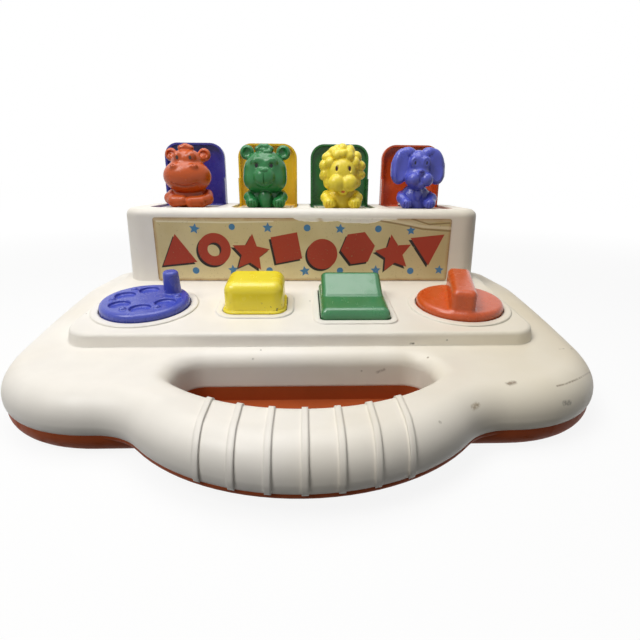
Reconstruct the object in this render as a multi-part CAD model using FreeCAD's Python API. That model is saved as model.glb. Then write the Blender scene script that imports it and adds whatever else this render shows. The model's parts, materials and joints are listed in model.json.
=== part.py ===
import FreeCAD, Part
import math
import os

# Pop up animal toy. Millimetres, +Z up, standing on z = 0.
# The model is drawn with Y measured from the front face of the raised box (positive
# towards the back) and moved at export, so that the origin lies under its middle.

V = FreeCAD.Vector
X_AXIS = V(1, 0, 0)
Y_AXIS = V(0, 1, 0)
Z_AXIS = V(0, 0, 1)

# ---- Housing -------------------------------------------------------------------------
WALL = 2.6                  # moulded wall of the upper shell
TRAY_WALL = 2.4             # moulded wall of the base tray
PARTING_Z = 10.0            # height at which shell and tray meet
SHELL_HALF_WIDTH = 149.1    # widest half width of the shell, at the sides
SIDE_BULGE_R = 930.0        # plan radius of the long curved sides
SIDE_STRAIGHT_Y = -12.8     # where the side curve starts
BACK_Y = 69.0               # back of the shell
BACK_CORNER_R = 22.0
WING_FRONT_Y = -131.6       # front of the wings
HANDLE_R = 91.0             # plan radius of the handle's outer edge
HANDLE_CENTRE_Y = -77.0
HANDLE_BLEND_R = 26.0       # concave sweep between wing and handle
WING_FLAT = 2.3             # straight piece between that sweep and the wing's corner
SHELL_BACK_TOP = 38.6       # shell top beside and behind the box
SHELL_FRONT_TOP = 27.2      # shell top at the wings and the handle
TOP_SLOPE_START_Y = 4.0
TOP_SLOPE_END_Y = -86.0
TOP_SLOPE_BLEND_R = 130.0
TOP_EDGE_R = 13.0           # rounding of the shell's upper perimeter
LOWER_EDGE_R = 8.0          # tuck of the shell's wall towards the parting
LOWER_EDGE_START = 4.0      # how far below the parting that tuck is centred off

# ---- Hand opening and handle -----------------------------------------------------------
HOLE_BACK_Y = -88.5
HOLE_HALF_WIDTH = 60.0
HOLE_FRONT_R = 82.0         # plan radius of the handle's inner edge
HOLE_FRONT_CENTRE_Y = -53.6
HOLE_CORNER_R = 11.76
HOLE_FRONT_CORNER_R = 8.0
HOLE_EDGE_R = 7.5
HOLE_LEDGE = 9.0            # the tray's floor runs on into the opening's back
RIB_COUNT = 7
RIB_PITCH = 12.4
RIB_WIDTH = 2.4
RIB_HEIGHT = 0.7
RIB_INNER_Y = -112.0

# ---- Raised box ------------------------------------------------------------------------
BOX_SHOULDER = 31.1         # width of the shell beside the box
BOX_HALF_WIDTH = SHELL_HALF_WIDTH - BOX_SHOULDER
BOX_BACK_Y = 66.5
BOX_TOP = 91.0
BOX_CORNER_R = 12.0
BOX_EDGE_R = 5.0
BOX_DRAFT = 2.0             # the box narrows by this much on each side towards its top

# ---- Control deck ----------------------------------------------------------------------
DECK_ANGLE = 6.4            # degrees of slope down towards the front
DECK_BACK_Z = 43.7          # deck height at the box face
DECK_LEDGE = 1.5            # the deck is this much wider than the box
DECK_HALF_WIDTH = BOX_HALF_WIDTH + DECK_LEDGE
DECK_FRONT = -77.0          # front edge of the deck
DECK_FLARE = 2.5            # how far the deck's wall spreads down to the shell
DECK_CORNER_R = 12.0
DECK_EDGE_R = 2.0
COLLAR_WIDTH = 4.0          # raised collar round each control
COLLAR_HEIGHT = 0.8

# ---- Base tray -------------------------------------------------------------------------
TRAY_FOOT_R = 8.0           # rounding of the tray's lower edge
HANDLE_UNDERSIDE_Z = 7.0    # underside of the handle
HANDLE_UNDER_R = 2.4

# ---- Fits ------------------------------------------------------------------------------
SLIDE_GAP = 0.3             # between pieces that move past each other
PIN_FIT = 0.05              # radial clearance of a pin or shaft in its hole
SEAT_GAP = 0.02             # a screw in its own hole

# ---- Flaps -----------------------------------------------------------------------------
FLAP_COUNT = 4
FLAP_PITCH = 0.45 * BOX_HALF_WIDTH
FLAP_SPACING = 10.1         # between two flaps
FLAP_WIDTH = FLAP_PITCH - FLAP_SPACING
FLAP_SIDE_GAP = 0.7
FLAP_THICK = 2.0
FLAP_CORNER_R = 10.0
PANEL_LENGTH = 45.0         # hinge axis to the panel's top edge
FLOOR_LENGTH = 49.5         # hinge axis to the floor's front edge
HINGE_Y = 57.5
HINGE_DROP = 2.4            # hinge axis below the box top
PANEL_SET_BACK = 2.2        # back of the panel behind the hinge axis
RIM_DEPTH = 3.0             # rim round the panel, towards the figure
RIM_THICK = 1.5
GUSSET_DEPTH = 7.0          # the rim is deeper in the panel's lower half
GUSSET_HEIGHT = 21.0
TAB_HALF_WIDTH = 6.0        # tab at the floor's front: open stop and catch
TAB_REACH = 3.5
TAB_THICK = 2.0
HINGE_PIN_R = 1.0
KNUCKLE_R = 2.2
SPRING_WINDOW = 7.0         # half width of the window for the spring's coil
EAR_THICK = 2.0
EAR_DEPTH = 8.0
STICKER_MARGIN = 2.6
STICKER_THICK = 0.25
FIGURE_DISTANCE = 23.5      # figure's middle in front of the hinge axis
FIGURE_UNIT = 1.0           # one unit of the grid that the animals are drawn on

# ---- Flap springs ----------------------------------------------------------------------
SPRING_WIRE = 0.7
SPRING_COIL_R = 2.2
SPRING_TURNS = 6
SPRING_LEG = 15.0

# ---- Catches and push bars -------------------------------------------------------------
BAR_WIDTH = 6.0
BAR_HEIGHT = 4.0
BAR_DEPTH = 16.5            # top of the bars below the deck's surface
LEAF_THICK = 0.5
LEAF_WIDTH = 10.0
CATCH_BOSS_R = 3.2
CATCH_BOSS_Y = 34.0
CATCH_LEVEL = 23.0          # top of the catch's mounting boss
CATCH_LIP_TOP = 38.2
RAMP_DROP = 10.5            # height of the catch's 45 degree ramp
RAMP_GAP = 0.5              # between a bar's tip and the ramp at rest
GUIDE_LENGTH = 4.0
GUIDE_WALL = 2.5
GUIDE_BRIDGE = 1.5
GUIDE_STATIONS = (-14.0, 20.0)
PAD_THICK = 3.0             # upright at the front of a bar, which the control pushes
PAD_TOP = 6.9               # top of that upright below the deck's surface
RETURN_WIRE = 0.6
RETURN_COIL_R = 4.3
RETURN_TURNS = 5

# ---- Controls --------------------------------------------------------------------------
DIAL_MARGIN = 28.8          # dial's middle from the deck's side
DIAL_X = DECK_HALF_WIDTH - DIAL_MARGIN    # dial at -DIAL_X, knob at +DIAL_X
DIAL_Y = -43.5
DIAL_R = 24.5
DIAL_THICK = 5.0
DIAL_BEVEL = 1.6
DIAL_SOFT_R = 0.6           # softening of the bevel's edges
WELL_DEPTH = 1.0            # shallow seat of dial and knob in the deck
WELL_GAP = 0.7
SHAFT_R = 5.0
SHAFT_END_R = 3.4
SHAFT_FLAT = 0.6 * SHAFT_END_R    # flat that carries the cam, from the shaft's axis
BEARING_R = 8.0
BEARING_LENGTH = 6.5
CAM_THICK = 4.0
CAM_BASE_R = 3.8            # base circle of the involute: bar travel per radian
CAM_START = 10.2            # cam's reach towards the bar at rest
CAM_HUB_R = 6.0
BUTTON_X = -0.3076 * DIAL_X
BUTTON_Y = -41.5
BUTTON_HALF_WIDTH = 16.4
BUTTON_HALF_DEPTH = 14.4
BUTTON_HEIGHT = 17.5
BUTTON_FOOT = 1.4           # step out of the button's foot
BUTTON_FOOT_HEIGHT = 2.2
BUTTON_CORNER_R = 6.0
BUTTON_EDGE_R = 5.5
BUTTON_WALL = 2.0
ROCKER_X = -BUTTON_X
ROCKER_Y = -42.5            # pivot of the rocker along the deck
ROCKER_PIVOT = -6.0         # and below the deck's surface
ROCKER_HALF_WIDTH = 19.0
ROCKER_BACK_R = 24.0        # back face is round about the pivot
ROCKER_FRONT = -22.5
ROCKER_WALL = 2.2
ROCKER_NOSE_R = 1.5
ROCKER_NOSE = 14.0
ROCKER_PIN_R = 1.5
ROCKER_RAMP = 52.0          # degrees of the bar's ramp under the rocker
ROCKER_RAMP_AHEAD = 7.5     # ramp ahead of and behind the point the nose faces
ROCKER_RAMP_BEHIND = 0.3
ROCKER_RAMP_CREST = 0.8
ROCKER_CORNER_R = 2.5
ROCKER_GAP = 0.5
ROCKER_EAR = 3.0
ROCKER_BOSS = 6.0           # length of each of its two bosses for the pin
ROCKER_SKIRT = 1.5          # walls end this far below the pivot
ROCKER_BACK_ANGLE = 48.0    # top of the round back, seen from the pivot
ROCKER_CREASE_Y = -1.5      # crease between the facets, from the pivot
ROCKER_CREASE_Z = 13.6
ROCKER_FRONT_Z = 12.6
ROCKER_EDGE_R = 2.5
SLEEVE_WALL = 1.8
SLEEVE_DEPTH = 7.0
FLANGE_THICK = 1.6
BUTTON_RAMP = 11.0          # height of the 45 degree ramp on the button's bar
BUTTON_RAMP_FRONT = BUTTON_Y - 4.5
BUTTON_RAMP_CREST = 1.0     # flat behind the ramp's top
BUTTON_STEM_TIP = 4.5
BUTTON_STEM_THICK = 2.2
BUTTON_FLANGE = 1.2         # how far the retaining flange stands out
BUTTON_SPRING_R = 2.2
BUTTON_SPRING_POST_R = 3.0
BUTTON_SPRING_TURNS = 8
BUTTON_SPRING_OFFSET = 7.8
BUTTON_SPRING_SEAT = 14.0
BUTTON_SPIGOT = 4.0         # pin that keeps the spring on its seat
DIAL_RECESSES = 5
DIAL_RECESS_STEP = 60.0
DIAL_FIRST_RECESS = 98.0
DIAL_RECESS_RING = 14.0
DIAL_RECESS_R = 5.6
DIAL_RECESS_DEPTH = 2.0
DIAL_BUMP_RING = 17.5
DIAL_BUMP_R = 1.9
DIAL_BUMP_SINK = 0.4
PEG_RING = 16.5
PEG_ANGLE = 38.0
PEG_R = 5.0
PEG_TOP_R = 4.4
PEG_HEIGHT = 13.0
GRIP_HALF_WIDTH = 6.3
GRIP_HALF_LENGTH = 22.0
GRIP_HEIGHT = 12.5
GRIP_TURN = -14.0
CAM_HEAD_R = 4.2
SMALL_SCREW_LENGTH = 8.0
LABEL_CORNER_R = 1.5

# ---- Screws ----------------------------------------------------------------------------
CASE_SCREW_R = 1.4
CASE_BOSS_R = 4.0
BOSS_STEP = 1.2             # the tray's posts are wider than the shell's by this
CASE_SCREW_LENGTH = 13.0
CASE_HEAD_R = 2.9
CASE_HEAD_THICK = 2.0
CASE_HEAD_DEPTH = 6.0
CASE_SIDE_X = SHELL_HALF_WIDTH - 19.1
CASE_SCREWS = ((CASE_SIDE_X, 46), (CASE_SIDE_X, -30), (100, -106), (54, -72))
SMALL_SCREW_R = 1.1
SMALL_HEAD_R = 2.1
SMALL_HEAD_THICK = 1.5

# ---- Label -----------------------------------------------------------------------------
LABEL_MARGIN = 21.5         # from the label's side to the box's
LABEL_HALF_WIDTH = BOX_HALF_WIDTH - LABEL_MARGIN
LABEL_BOTTOM = 44.3
LABEL_TOP = 85.2
LABEL_THICK = 0.3

HINGE_Z = BOX_TOP - HINGE_DROP
ORIGIN_Y = (HANDLE_R - HANDLE_CENTRE_Y + RIB_HEIGHT - BACK_Y) / 2.0
FLAP_XS = [FLAP_PITCH * (i - (FLAP_COUNT - 1) / 2.0) for i in range(FLAP_COUNT)]
OUTER_BAR_X = FLAP_XS[-1] + 4.3
BAR_XS = [-OUTER_BAR_X, BUTTON_X, ROCKER_X, OUTER_BAR_X]
PARTING_INSET = LOWER_EDGE_R - math.sqrt(LOWER_EDGE_R ** 2 - LOWER_EDGE_START ** 2)
CUT = 400.0                 # larger than the toy, for cutting tools


# ---- Helpers ---------------------------------------------------------------------------
def line(a, b):
    return Part.LineSegment(a, b).toShape()


def arc(a, b, c):
    return Part.Arc(a, b, c).toShape()


def polar(centre, radius, degrees):
    angle = math.radians(degrees)
    return centre + V(radius * math.cos(angle), radius * math.sin(angle), 0)


def box(x0, x1, y0, y1, z0, z1):
    return Part.makeBox(x1 - x0, y1 - y0, z1 - z0, V(x0, y0, z0))


def cylinder(radius, start, end):
    return Part.makeCylinder(radius, (end - start).Length, start, end - start)


def fuse(shapes):
    return shapes[0].multiFuse(shapes[1:]).removeSplitter()


def rounded_rectangle(x0, x1, y0, y1, radius, z):
    """Face with four round corners."""
    c = radius * (1 - math.sqrt(0.5))
    edges = [
        line(V(x0 + radius, y0, z), V(x1 - radius, y0, z)),
        arc(V(x1 - radius, y0, z), V(x1 - c, y0 + c, z), V(x1, y0 + radius, z)),
        line(V(x1, y0 + radius, z), V(x1, y1 - radius, z)),
        arc(V(x1, y1 - radius, z), V(x1 - c, y1 - c, z), V(x1 - radius, y1, z)),
        line(V(x1 - radius, y1, z), V(x0 + radius, y1, z)),
        arc(V(x0 + radius, y1, z), V(x0 + c, y1 - c, z), V(x0, y1 - radius, z)),
        line(V(x0, y1 - radius, z), V(x0, y0 + radius, z)),
        arc(V(x0, y0 + radius, z), V(x0 + c, y0 + c, z), V(x0 + radius, y0, z)),
    ]
    return Part.Face(Part.Wire(edges))


def rounded_block(x0, x1, y0, y1, z0, z1, radius):
    return rounded_rectangle(x0, x1, y0, y1, radius, z0).extrude(V(0, 0, z1 - z0))


def flat_profile(points, half_width, x=0.0):
    """Solid of a closed outline in the YZ plane, centred on x."""
    corners = [V(x - half_width, y, z) for y, z in points]
    face = Part.Face(Part.makePolygon(corners + corners[:1]))
    return face.extrude(V(2 * half_width, 0, 0))


def sphere(centre, radius):
    return Part.makeSphere(radius, centre)


def spheroid(centre, around, along, axis):
    """Round soft body: radius 'around' about the axis, half length 'along' on it."""
    bend = min(around, along)
    straight = along - bend
    flat = around - bend
    diagonal = bend * math.sqrt(0.5)
    edges = [line(V(-along, 0, 0), V(along, 0, 0))]
    for side in (-1, 1):
        end = V(side * along, flat, 0)
        middle = V(side * (straight + diagonal), flat + diagonal, 0)
        edges.append(arc(end, middle, V(side * straight, around, 0)))
        if flat > 0:
            edges.append(line(V(side * along, 0, 0), end))
    if straight > 0:
        edges.append(line(V(-straight, around, 0), V(straight, around, 0)))
    face = Part.Face(Part.Wire(Part.__sortEdges__(edges)))
    solid = face.revolve(V(0, 0, 0), X_AXIS, 360)
    if solid.Volume < 0:
        solid = face.revolve(V(0, 0, 0), -X_AXIS, 360)
    solid.Placement = FreeCAD.Placement(centre, FreeCAD.Rotation(X_AXIS, axis))
    return solid


def on_deck(shape):
    """Moves a shape from the deck's own frame to the toy's frame."""
    moved = shape.copy()
    turn = FreeCAD.Rotation(V(1, 0, 0), DECK_ANGLE)
    moved.Placement = FreeCAD.Placement(V(0, 0, DECK_BACK_Z), turn).multiply(moved.Placement)
    return moved


def deck_height(y):
    return DECK_BACK_Z + y * math.tan(math.radians(DECK_ANGLE))


def edges_on(shape, wire, low, high):
    """Edges that run above a plan outline, between two heights."""
    flat = wire.copy()
    found = []
    for edge in shape.Edges:
        first, last = edge.ParameterRange
        mid = edge.valueAt((first + last) / 2)
        ends = [v.Point for v in edge.Vertexes]
        if not low < mid.z < high:
            continue
        if len(ends) == 2 and V(ends[0].x - ends[1].x, ends[0].y - ends[1].y, 0).Length < 1e-3:
            continue
        if flat.distToShape(Part.Vertex(V(mid.x, mid.y, 0)))[0] < 0.02:
            found.append(edge)
    return found


# ---- Housing forms ---------------------------------------------------------------------
def right_half_points():
    """Tangent points of the shell's plan outline on its right side."""
    blend_y = WING_FRONT_Y - HANDLE_BLEND_R
    blend_reach = HANDLE_R + HANDLE_BLEND_R
    blend_x = math.sqrt(blend_reach ** 2 - (blend_y - HANDLE_CENTRE_Y) ** 2)
    blend = V(blend_x, blend_y, 0)
    side_centre = V(SHELL_HALF_WIDTH - SIDE_BULGE_R, SIDE_STRAIGHT_Y, 0)
    radius = wing_corner_radius(blend_x + WING_FLAT - side_centre.x)
    corner = V(blend_x + WING_FLAT, WING_FRONT_Y + radius, 0)
    side_end = side_centre + (corner - side_centre).normalize() * SIDE_BULGE_R
    handle = V(0, HANDLE_CENTRE_Y, 0)
    handle_end = handle + (blend - handle).normalize() * HANDLE_R
    return side_centre, side_end, corner, blend, handle_end


def wing_corner_radius(across):
    """Radius of the arc that touches the curved side and the wing's front edge."""
    ahead = WING_FRONT_Y - SIDE_STRAIGHT_Y
    return (SIDE_BULGE_R ** 2 - ahead ** 2 - across ** 2) / (2 * (SIDE_BULGE_R + ahead))


def mid_arc(centre, a, b):
    """Point of an arc about a centre, half way between two of its points."""
    radius = (a - centre).Length
    return centre + ((a - centre) + (b - centre)).normalize() * radius


def plan_outline():
    side_centre, side_end, corner, blend, handle_end = right_half_points()
    back_x = SHELL_HALF_WIDTH - BACK_CORNER_R
    back_corner = V(back_x, BACK_Y - BACK_CORNER_R, 0)
    b = V(back_x, BACK_Y, 0)
    c = V(SHELL_HALF_WIDTH, BACK_Y - BACK_CORNER_R, 0)
    d = V(SHELL_HALF_WIDTH, SIDE_STRAIGHT_Y, 0)
    e = V(corner.x, WING_FRONT_Y, 0)
    f = V(blend.x, WING_FRONT_Y, 0)
    side = (
        (b, polar(back_corner, BACK_CORNER_R, 45), c),
        (c, None, d),
        (d, mid_arc(side_centre, d, side_end), side_end),
        (side_end, mid_arc(corner, side_end, e), e),
        (e, None, f),
        (f, mid_arc(blend, f, handle_end), handle_end),
    )
    front = arc(handle_end, V(0, HANDLE_CENTRE_Y - HANDLE_R, 0), mirrored(handle_end))
    edges = [line(mirrored(b), b), front]
    for start, middle, end in side:
        for flip in (same, mirrored):
            if middle is None:
                edges.append(line(flip(start), flip(end)))
            else:
                edges.append(arc(flip(start), flip(middle), flip(end)))
    return Part.Wire(Part.__sortEdges__(edges))


def same(point):
    return V(point)


def mirrored(point):
    return V(-point.x, point.y, point.z)


def hole_prism(grow, z0, z1):
    """Upright prism of the hand opening, grown outwards by a wall."""
    half = HOLE_HALF_WIDTH
    radius = HOLE_FRONT_R
    end_y = HOLE_FRONT_CENTRE_Y - math.sqrt(radius ** 2 - half ** 2)
    a = V(-half, HOLE_BACK_Y, z0)
    b = V(half, HOLE_BACK_Y, z0)
    c = V(half, end_y, z0)
    d = V(-half, end_y, z0)
    low = V(0, HOLE_FRONT_CENTRE_Y - radius, z0)
    face = Part.Face(Part.Wire([line(a, b), line(b, c), arc(c, low, d), line(d, a)]))
    prism = face.extrude(V(0, 0, z1 - z0))
    back = [e for e in prism.Edges if is_upright(e) and e.Vertexes[0].Y > HOLE_BACK_Y - 1]
    prism = prism.makeFillet(HOLE_CORNER_R, back)
    front = [e for e in prism.Edges if is_upright(e) and abs(e.Vertexes[0].Y - end_y) < 0.01]
    prism = prism.makeFillet(HOLE_FRONT_CORNER_R, front)
    if grow == 0:
        return prism
    base = max(prism.Faces, key=lambda f: -f.CenterOfMass.z)
    wider = base.OuterWire.makeOffset2D(grow)
    return Part.Face(wider).extrude(V(0, 0, z1 - z0))


def is_upright(edge):
    a, b = edge.Vertexes[0].Point, edge.Vertexes[-1].Point
    return V(a.x - b.x, a.y - b.y, 0).Length < 1e-6 and abs(a.z - b.z) > 1


def side_profile(lowered, z0):
    """Space under the shell's top surface, across the whole width."""
    back = SHELL_BACK_TOP - lowered
    front = SHELL_FRONT_TOP - lowered
    slope = math.atan2(back - front, TOP_SLOPE_START_Y - TOP_SLOPE_END_Y)
    reach = TOP_SLOPE_BLEND_R * math.tan(slope / 2)
    along = V(0, math.cos(slope), math.sin(slope))
    upper = V(-CUT, TOP_SLOPE_START_Y, back)
    lower = V(-CUT, TOP_SLOPE_END_Y, front)
    p1 = upper + V(0, reach, 0)
    p2 = upper - along * reach
    p3 = lower + along * reach
    p4 = lower - V(0, reach, 0)
    bend = V(0, -math.sin(slope / 2), math.cos(slope / 2))
    m1 = (p1 + p2) * 0.5
    m2 = (p3 + p4) * 0.5
    m1 = m1 + bend * sagitta(p1, p2, TOP_SLOPE_BLEND_R)
    m2 = m2 - bend * sagitta(p3, p4, TOP_SLOPE_BLEND_R)
    start = V(-CUT, CUT, back)
    end = V(-CUT, -CUT, front)
    foot_front = V(-CUT, -CUT, z0)
    foot_back = V(-CUT, CUT, z0)
    edges = [
        line(start, p1),
        arc(p1, m1, p2),
        line(p2, p3),
        arc(p3, m2, p4),
        line(p4, end),
        line(end, foot_front),
        line(foot_front, foot_back),
        line(foot_back, start),
    ]
    return Part.Face(Part.Wire(edges)).extrude(V(2 * CUT, 0, 0))


def sagitta(a, b, radius):
    half = (b - a).Length / 2
    return radius - math.sqrt(radius ** 2 - half ** 2)


def apron(grow):
    """Low body of the shell, with its handle and its rounded perimeter."""
    outline = plan_outline()
    if grow:
        outline = outline.makeOffset2D(grow)
    low = PARTING_Z - LOWER_EDGE_START
    body = Part.Face(outline).extrude(V(0, 0, CUT))
    body.translate(V(0, 0, low))
    body = body.common(side_profile(-grow, low - 1))
    hole = hole_prism(-grow, 0, CUT)
    body = body.cut(hole)
    hole_wire = hole.slice(V(0, 0, 1), 1.0)[0]
    hole_wire.translate(V(0, 0, -1))
    upper = edges_on(body, outline, low + 5, CUT)
    body = body.makeFillet(TOP_EDGE_R + grow, upper)
    rim = edges_on(body, hole_wire, low + 5, CUT)
    body = body.makeFillet(HOLE_EDGE_R + grow, rim)
    under = edges_on(body, outline, low - 1, low + 1)
    body = body.makeFillet(LOWER_EDGE_R, under)
    return body.cut(box(-CUT, CUT, -CUT, CUT, -1, PARTING_Z))


def raised_box(inset, z0):
    half = BOX_HALF_WIDTH - inset
    top_half = half - BOX_DRAFT
    radius = BOX_CORNER_R - inset
    top = BOX_TOP - inset
    low = rounded_rectangle(-half, half, inset, BOX_BACK_Y - inset, radius, z0)
    high = rounded_rectangle(-top_half, top_half, inset, BOX_BACK_Y - inset, radius, top)
    body = Part.makeLoft([low.OuterWire, high.OuterWire], True, True)
    rim = [e for e in body.Edges if min(v.Z for v in e.Vertexes) > top - 0.01]
    return body.makeFillet(max(BOX_EDGE_R - inset, 1.0), rim)


def deck_block(inset):
    """Plateau that carries the controls."""
    half = DECK_HALF_WIDTH - inset
    front = DECK_FRONT + inset
    radius = DECK_CORNER_R - inset
    flare = DECK_FLARE
    back = BOX_BACK_Y / 2
    rise = SHELL_BACK_TOP - SHELL_FRONT_TOP
    top = rounded_rectangle(-half, half, front, back, radius, rise)
    foot = rounded_rectangle(
        -half - 3 * flare, half + 3 * flare, front - 3 * flare, back, radius + 2 * flare, -2 * rise)
    body = Part.makeLoft([foot.OuterWire, top.OuterWire], True, True)
    body = body.cut(box(-CUT, CUT, -CUT, CUT, -inset, CUT))
    if inset < DECK_EDGE_R:
        rim = [e for e in body.Edges if min(v.Z for v in e.Vertexes) > -inset - 0.01
               and e.CenterOfMass.y < back - 1]
        body = body.makeFillet(DECK_EDGE_R, rim)
    return on_deck(body)


def handle_ribs():
    grown = apron(RIB_HEIGHT)
    ribs = []
    for i in range(RIB_COUNT):
        x = RIB_PITCH * (i - (RIB_COUNT - 1) / 2.0)
        slab = box(x - RIB_WIDTH / 2, x + RIB_WIDTH / 2, -CUT, RIB_INNER_Y, PARTING_Z, CUT)
        ribs.append(grown.common(slab))
    return ribs


def button_block(grow, n0, n1):
    """Outline of the button's foot, in the deck's frame."""
    half = BUTTON_HALF_WIDTH + BUTTON_FOOT + grow
    depth = BUTTON_HALF_DEPTH + BUTTON_FOOT + grow
    return rounded_block(
        BUTTON_X - half, BUTTON_X + half, BUTTON_Y - depth, BUTTON_Y + depth,
        n0, n1, BUTTON_CORNER_R + BUTTON_FOOT + grow)


def rocker_block(grow, n0, n1):
    """Outline of the rocker's opening, in the deck's frame."""
    return rounded_block(
        ROCKER_X - ROCKER_HALF_WIDTH - grow, ROCKER_X + ROCKER_HALF_WIDTH + grow,
        ROCKER_Y + ROCKER_FRONT - grow, ROCKER_Y + ROCKER_BACK_R + grow,
        n0, n1, ROCKER_CORNER_R + grow)


def disc_block(x, radius, n0, n1):
    return cylinder(radius, V(x, DIAL_Y, n0), V(x, DIAL_Y, n1))


def collars():
    """Low raised collars round the four controls, with a soft outer edge."""
    blocks = [
        disc_block(-DIAL_X, DIAL_R + WELL_GAP + COLLAR_WIDTH, -1, COLLAR_HEIGHT),
        disc_block(DIAL_X, DIAL_R + WELL_GAP + COLLAR_WIDTH, -1, COLLAR_HEIGHT),
        button_block(COLLAR_WIDTH, -1, COLLAR_HEIGHT),
        rocker_block(COLLAR_WIDTH, -1, COLLAR_HEIGHT),
    ]
    soft = []
    for block in blocks:
        rim = [e for e in block.Edges if min(v.Z for v in e.Vertexes) > COLLAR_HEIGHT - 0.01]
        soft.append(on_deck(block.makeFillet(COLLAR_HEIGHT * 0.7, rim)))
    return soft


def deck_fittings():
    """Bearings, sleeve and ears under the deck."""
    wall = -WALL * 0.8
    parts = []
    for x in (-DIAL_X, DIAL_X):
        parts.append(disc_block(x, BEARING_R, -BEARING_LENGTH, wall))
    sleeve = button_block(SLIDE_GAP + SLEEVE_WALL, -SLEEVE_DEPTH, wall)
    parts.append(sleeve)
    ear_in = ROCKER_HALF_WIDTH + SLIDE_GAP
    for side in (-1, 1):
        near = ROCKER_X + side * ear_in
        far = ROCKER_X + side * (ear_in + ROCKER_EAR)
        ear = box(min(near, far), max(near, far), ROCKER_Y - 5, ROCKER_Y + 5,
                  ROCKER_PIVOT, wall)
        eye = cylinder(5.0, V(near, ROCKER_Y, ROCKER_PIVOT), V(far, ROCKER_Y, ROCKER_PIVOT))
        parts.append(ear.fuse(eye))
    return [on_deck(p) for p in parts]


def deck_cuts():
    """Wells, bores and openings through the deck."""
    deep = -BEARING_LENGTH - 5
    high = COLLAR_HEIGHT + 2
    tools = []
    for x in (-DIAL_X, DIAL_X):
        tools.append(disc_block(x, DIAL_R + WELL_GAP, -WELL_DEPTH, high))
        tools.append(disc_block(x, SHAFT_R + PIN_FIT, deep, high))
    tools.append(button_block(SLIDE_GAP, -SLEEVE_DEPTH - 1, high))
    tools.append(rocker_block(ROCKER_GAP, -WALL - 1, high))
    reach = ROCKER_HALF_WIDTH + SLIDE_GAP + ROCKER_EAR + 1
    tools.append(cylinder(ROCKER_PIN_R + PIN_FIT,
                          V(ROCKER_X - reach, ROCKER_Y, ROCKER_PIVOT),
                          V(ROCKER_X + reach, ROCKER_Y, ROCKER_PIVOT)))
    return [on_deck(t) for t in tools]


def flap_opening(x):
    half = FLAP_WIDTH / 2 + FLAP_SIDE_GAP
    front = HINGE_Y - FLOOR_LENGTH - FLAP_SIDE_GAP
    back = HINGE_Y + PANEL_SET_BACK + FLAP_SIDE_GAP
    return rounded_block(x - half, x + half, front, back + FLAP_CORNER_R,
                         BOX_TOP - WALL - 1, BOX_TOP + 1, FLAP_CORNER_R + FLAP_SIDE_GAP) \
        .common(box(-CUT, CUT, front - 1, back, 0, CUT))


def hinge_ears(x):
    """Two eyes for the hinge pin and a stop for the spring's leg."""
    half = FLAP_WIDTH / 2 + FLAP_SIDE_GAP
    low = BOX_TOP - WALL - EAR_DEPTH
    parts = []
    for side in (-1, 1):
        a, b = sorted((x + side * half, x + side * (half + EAR_THICK)))
        ear = box(a, b, HINGE_Y - EAR_DEPTH / 2, HINGE_Y + EAR_DEPTH / 2,
                  low + EAR_DEPTH / 2, BOX_TOP - 1)
        foot = cylinder(EAR_DEPTH / 2, V(a, HINGE_Y, low + EAR_DEPTH / 2),
                        V(b, HINGE_Y, low + EAR_DEPTH / 2))
        parts.append(ear.fuse(foot))
    seat_y = HINGE_Y + SPRING_COIL_R + SPRING_WIRE / 2 + SEAT_GAP
    leg_x = x - spring_half_length()
    parts.append(box(leg_x - 2, leg_x + 2, seat_y, BOX_BACK_Y - 1,
                     HINGE_Z - SPRING_LEG, HINGE_Z - SPRING_LEG + 6))
    return parts


def hinge_bore(x):
    half = FLAP_WIDTH / 2 + FLAP_SIDE_GAP + EAR_THICK
    return cylinder(HINGE_PIN_R + PIN_FIT, V(x - half, HINGE_Y, HINGE_Z),
                    V(x + half, HINGE_Y, HINGE_Z))


def case_points():
    for x, y in CASE_SCREWS:
        for side in (-1, 1):
            yield V(side * x, y, 0)


def roof_height(x, y):
    """Outer height of the deck or of the shell's sloping shoulder."""
    if abs(x) < DECK_HALF_WIDTH and y > DECK_FRONT:
        return deck_height(y)
    share = (y - TOP_SLOPE_END_Y) / (TOP_SLOPE_START_Y - TOP_SLOPE_END_Y)
    return SHELL_FRONT_TOP + (SHELL_BACK_TOP - SHELL_FRONT_TOP) * min(max(share, 0), 1)


def case_bosses():
    bosses = []
    for p in case_points():
        top = roof_height(p.x, p.y) - WALL / 2
        bosses.append(cylinder(CASE_BOSS_R, V(p.x, p.y, PARTING_Z), V(p.x, p.y, top)))
    return bosses


def upper_shell():
    deck = deck_block(0).cut(box(-CUT, CUT, -CUT, CUT, -CUT, PARTING_Z))
    deck_space = deck_block(WALL).cut(box(-CUT, CUT, -CUT, CUT, -CUT, PARTING_Z))
    outer = fuse([apron(0), raised_box(0, PARTING_Z), deck] + handle_ribs() + collars())
    space = fuse([apron(-WALL), raised_box(WALL, PARTING_Z), deck_space])
    shell = outer.cut(space)
    eyes = [part for x in FLAP_XS for part in hinge_ears(x)]
    shell = fuse([shell] + case_bosses() + deck_fittings() + eyes)
    cuts = deck_cuts()
    cuts += [flap_opening(x) for x in FLAP_XS]
    cuts += [hinge_bore(x) for x in FLAP_XS]
    for p in case_points():
        cuts.append(cylinder(CASE_SCREW_R + SEAT_GAP, p, p + V(0, 0, case_screw_top())))
    for tool in cuts:
        shell = shell.cut(tool)
    return shell


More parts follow.
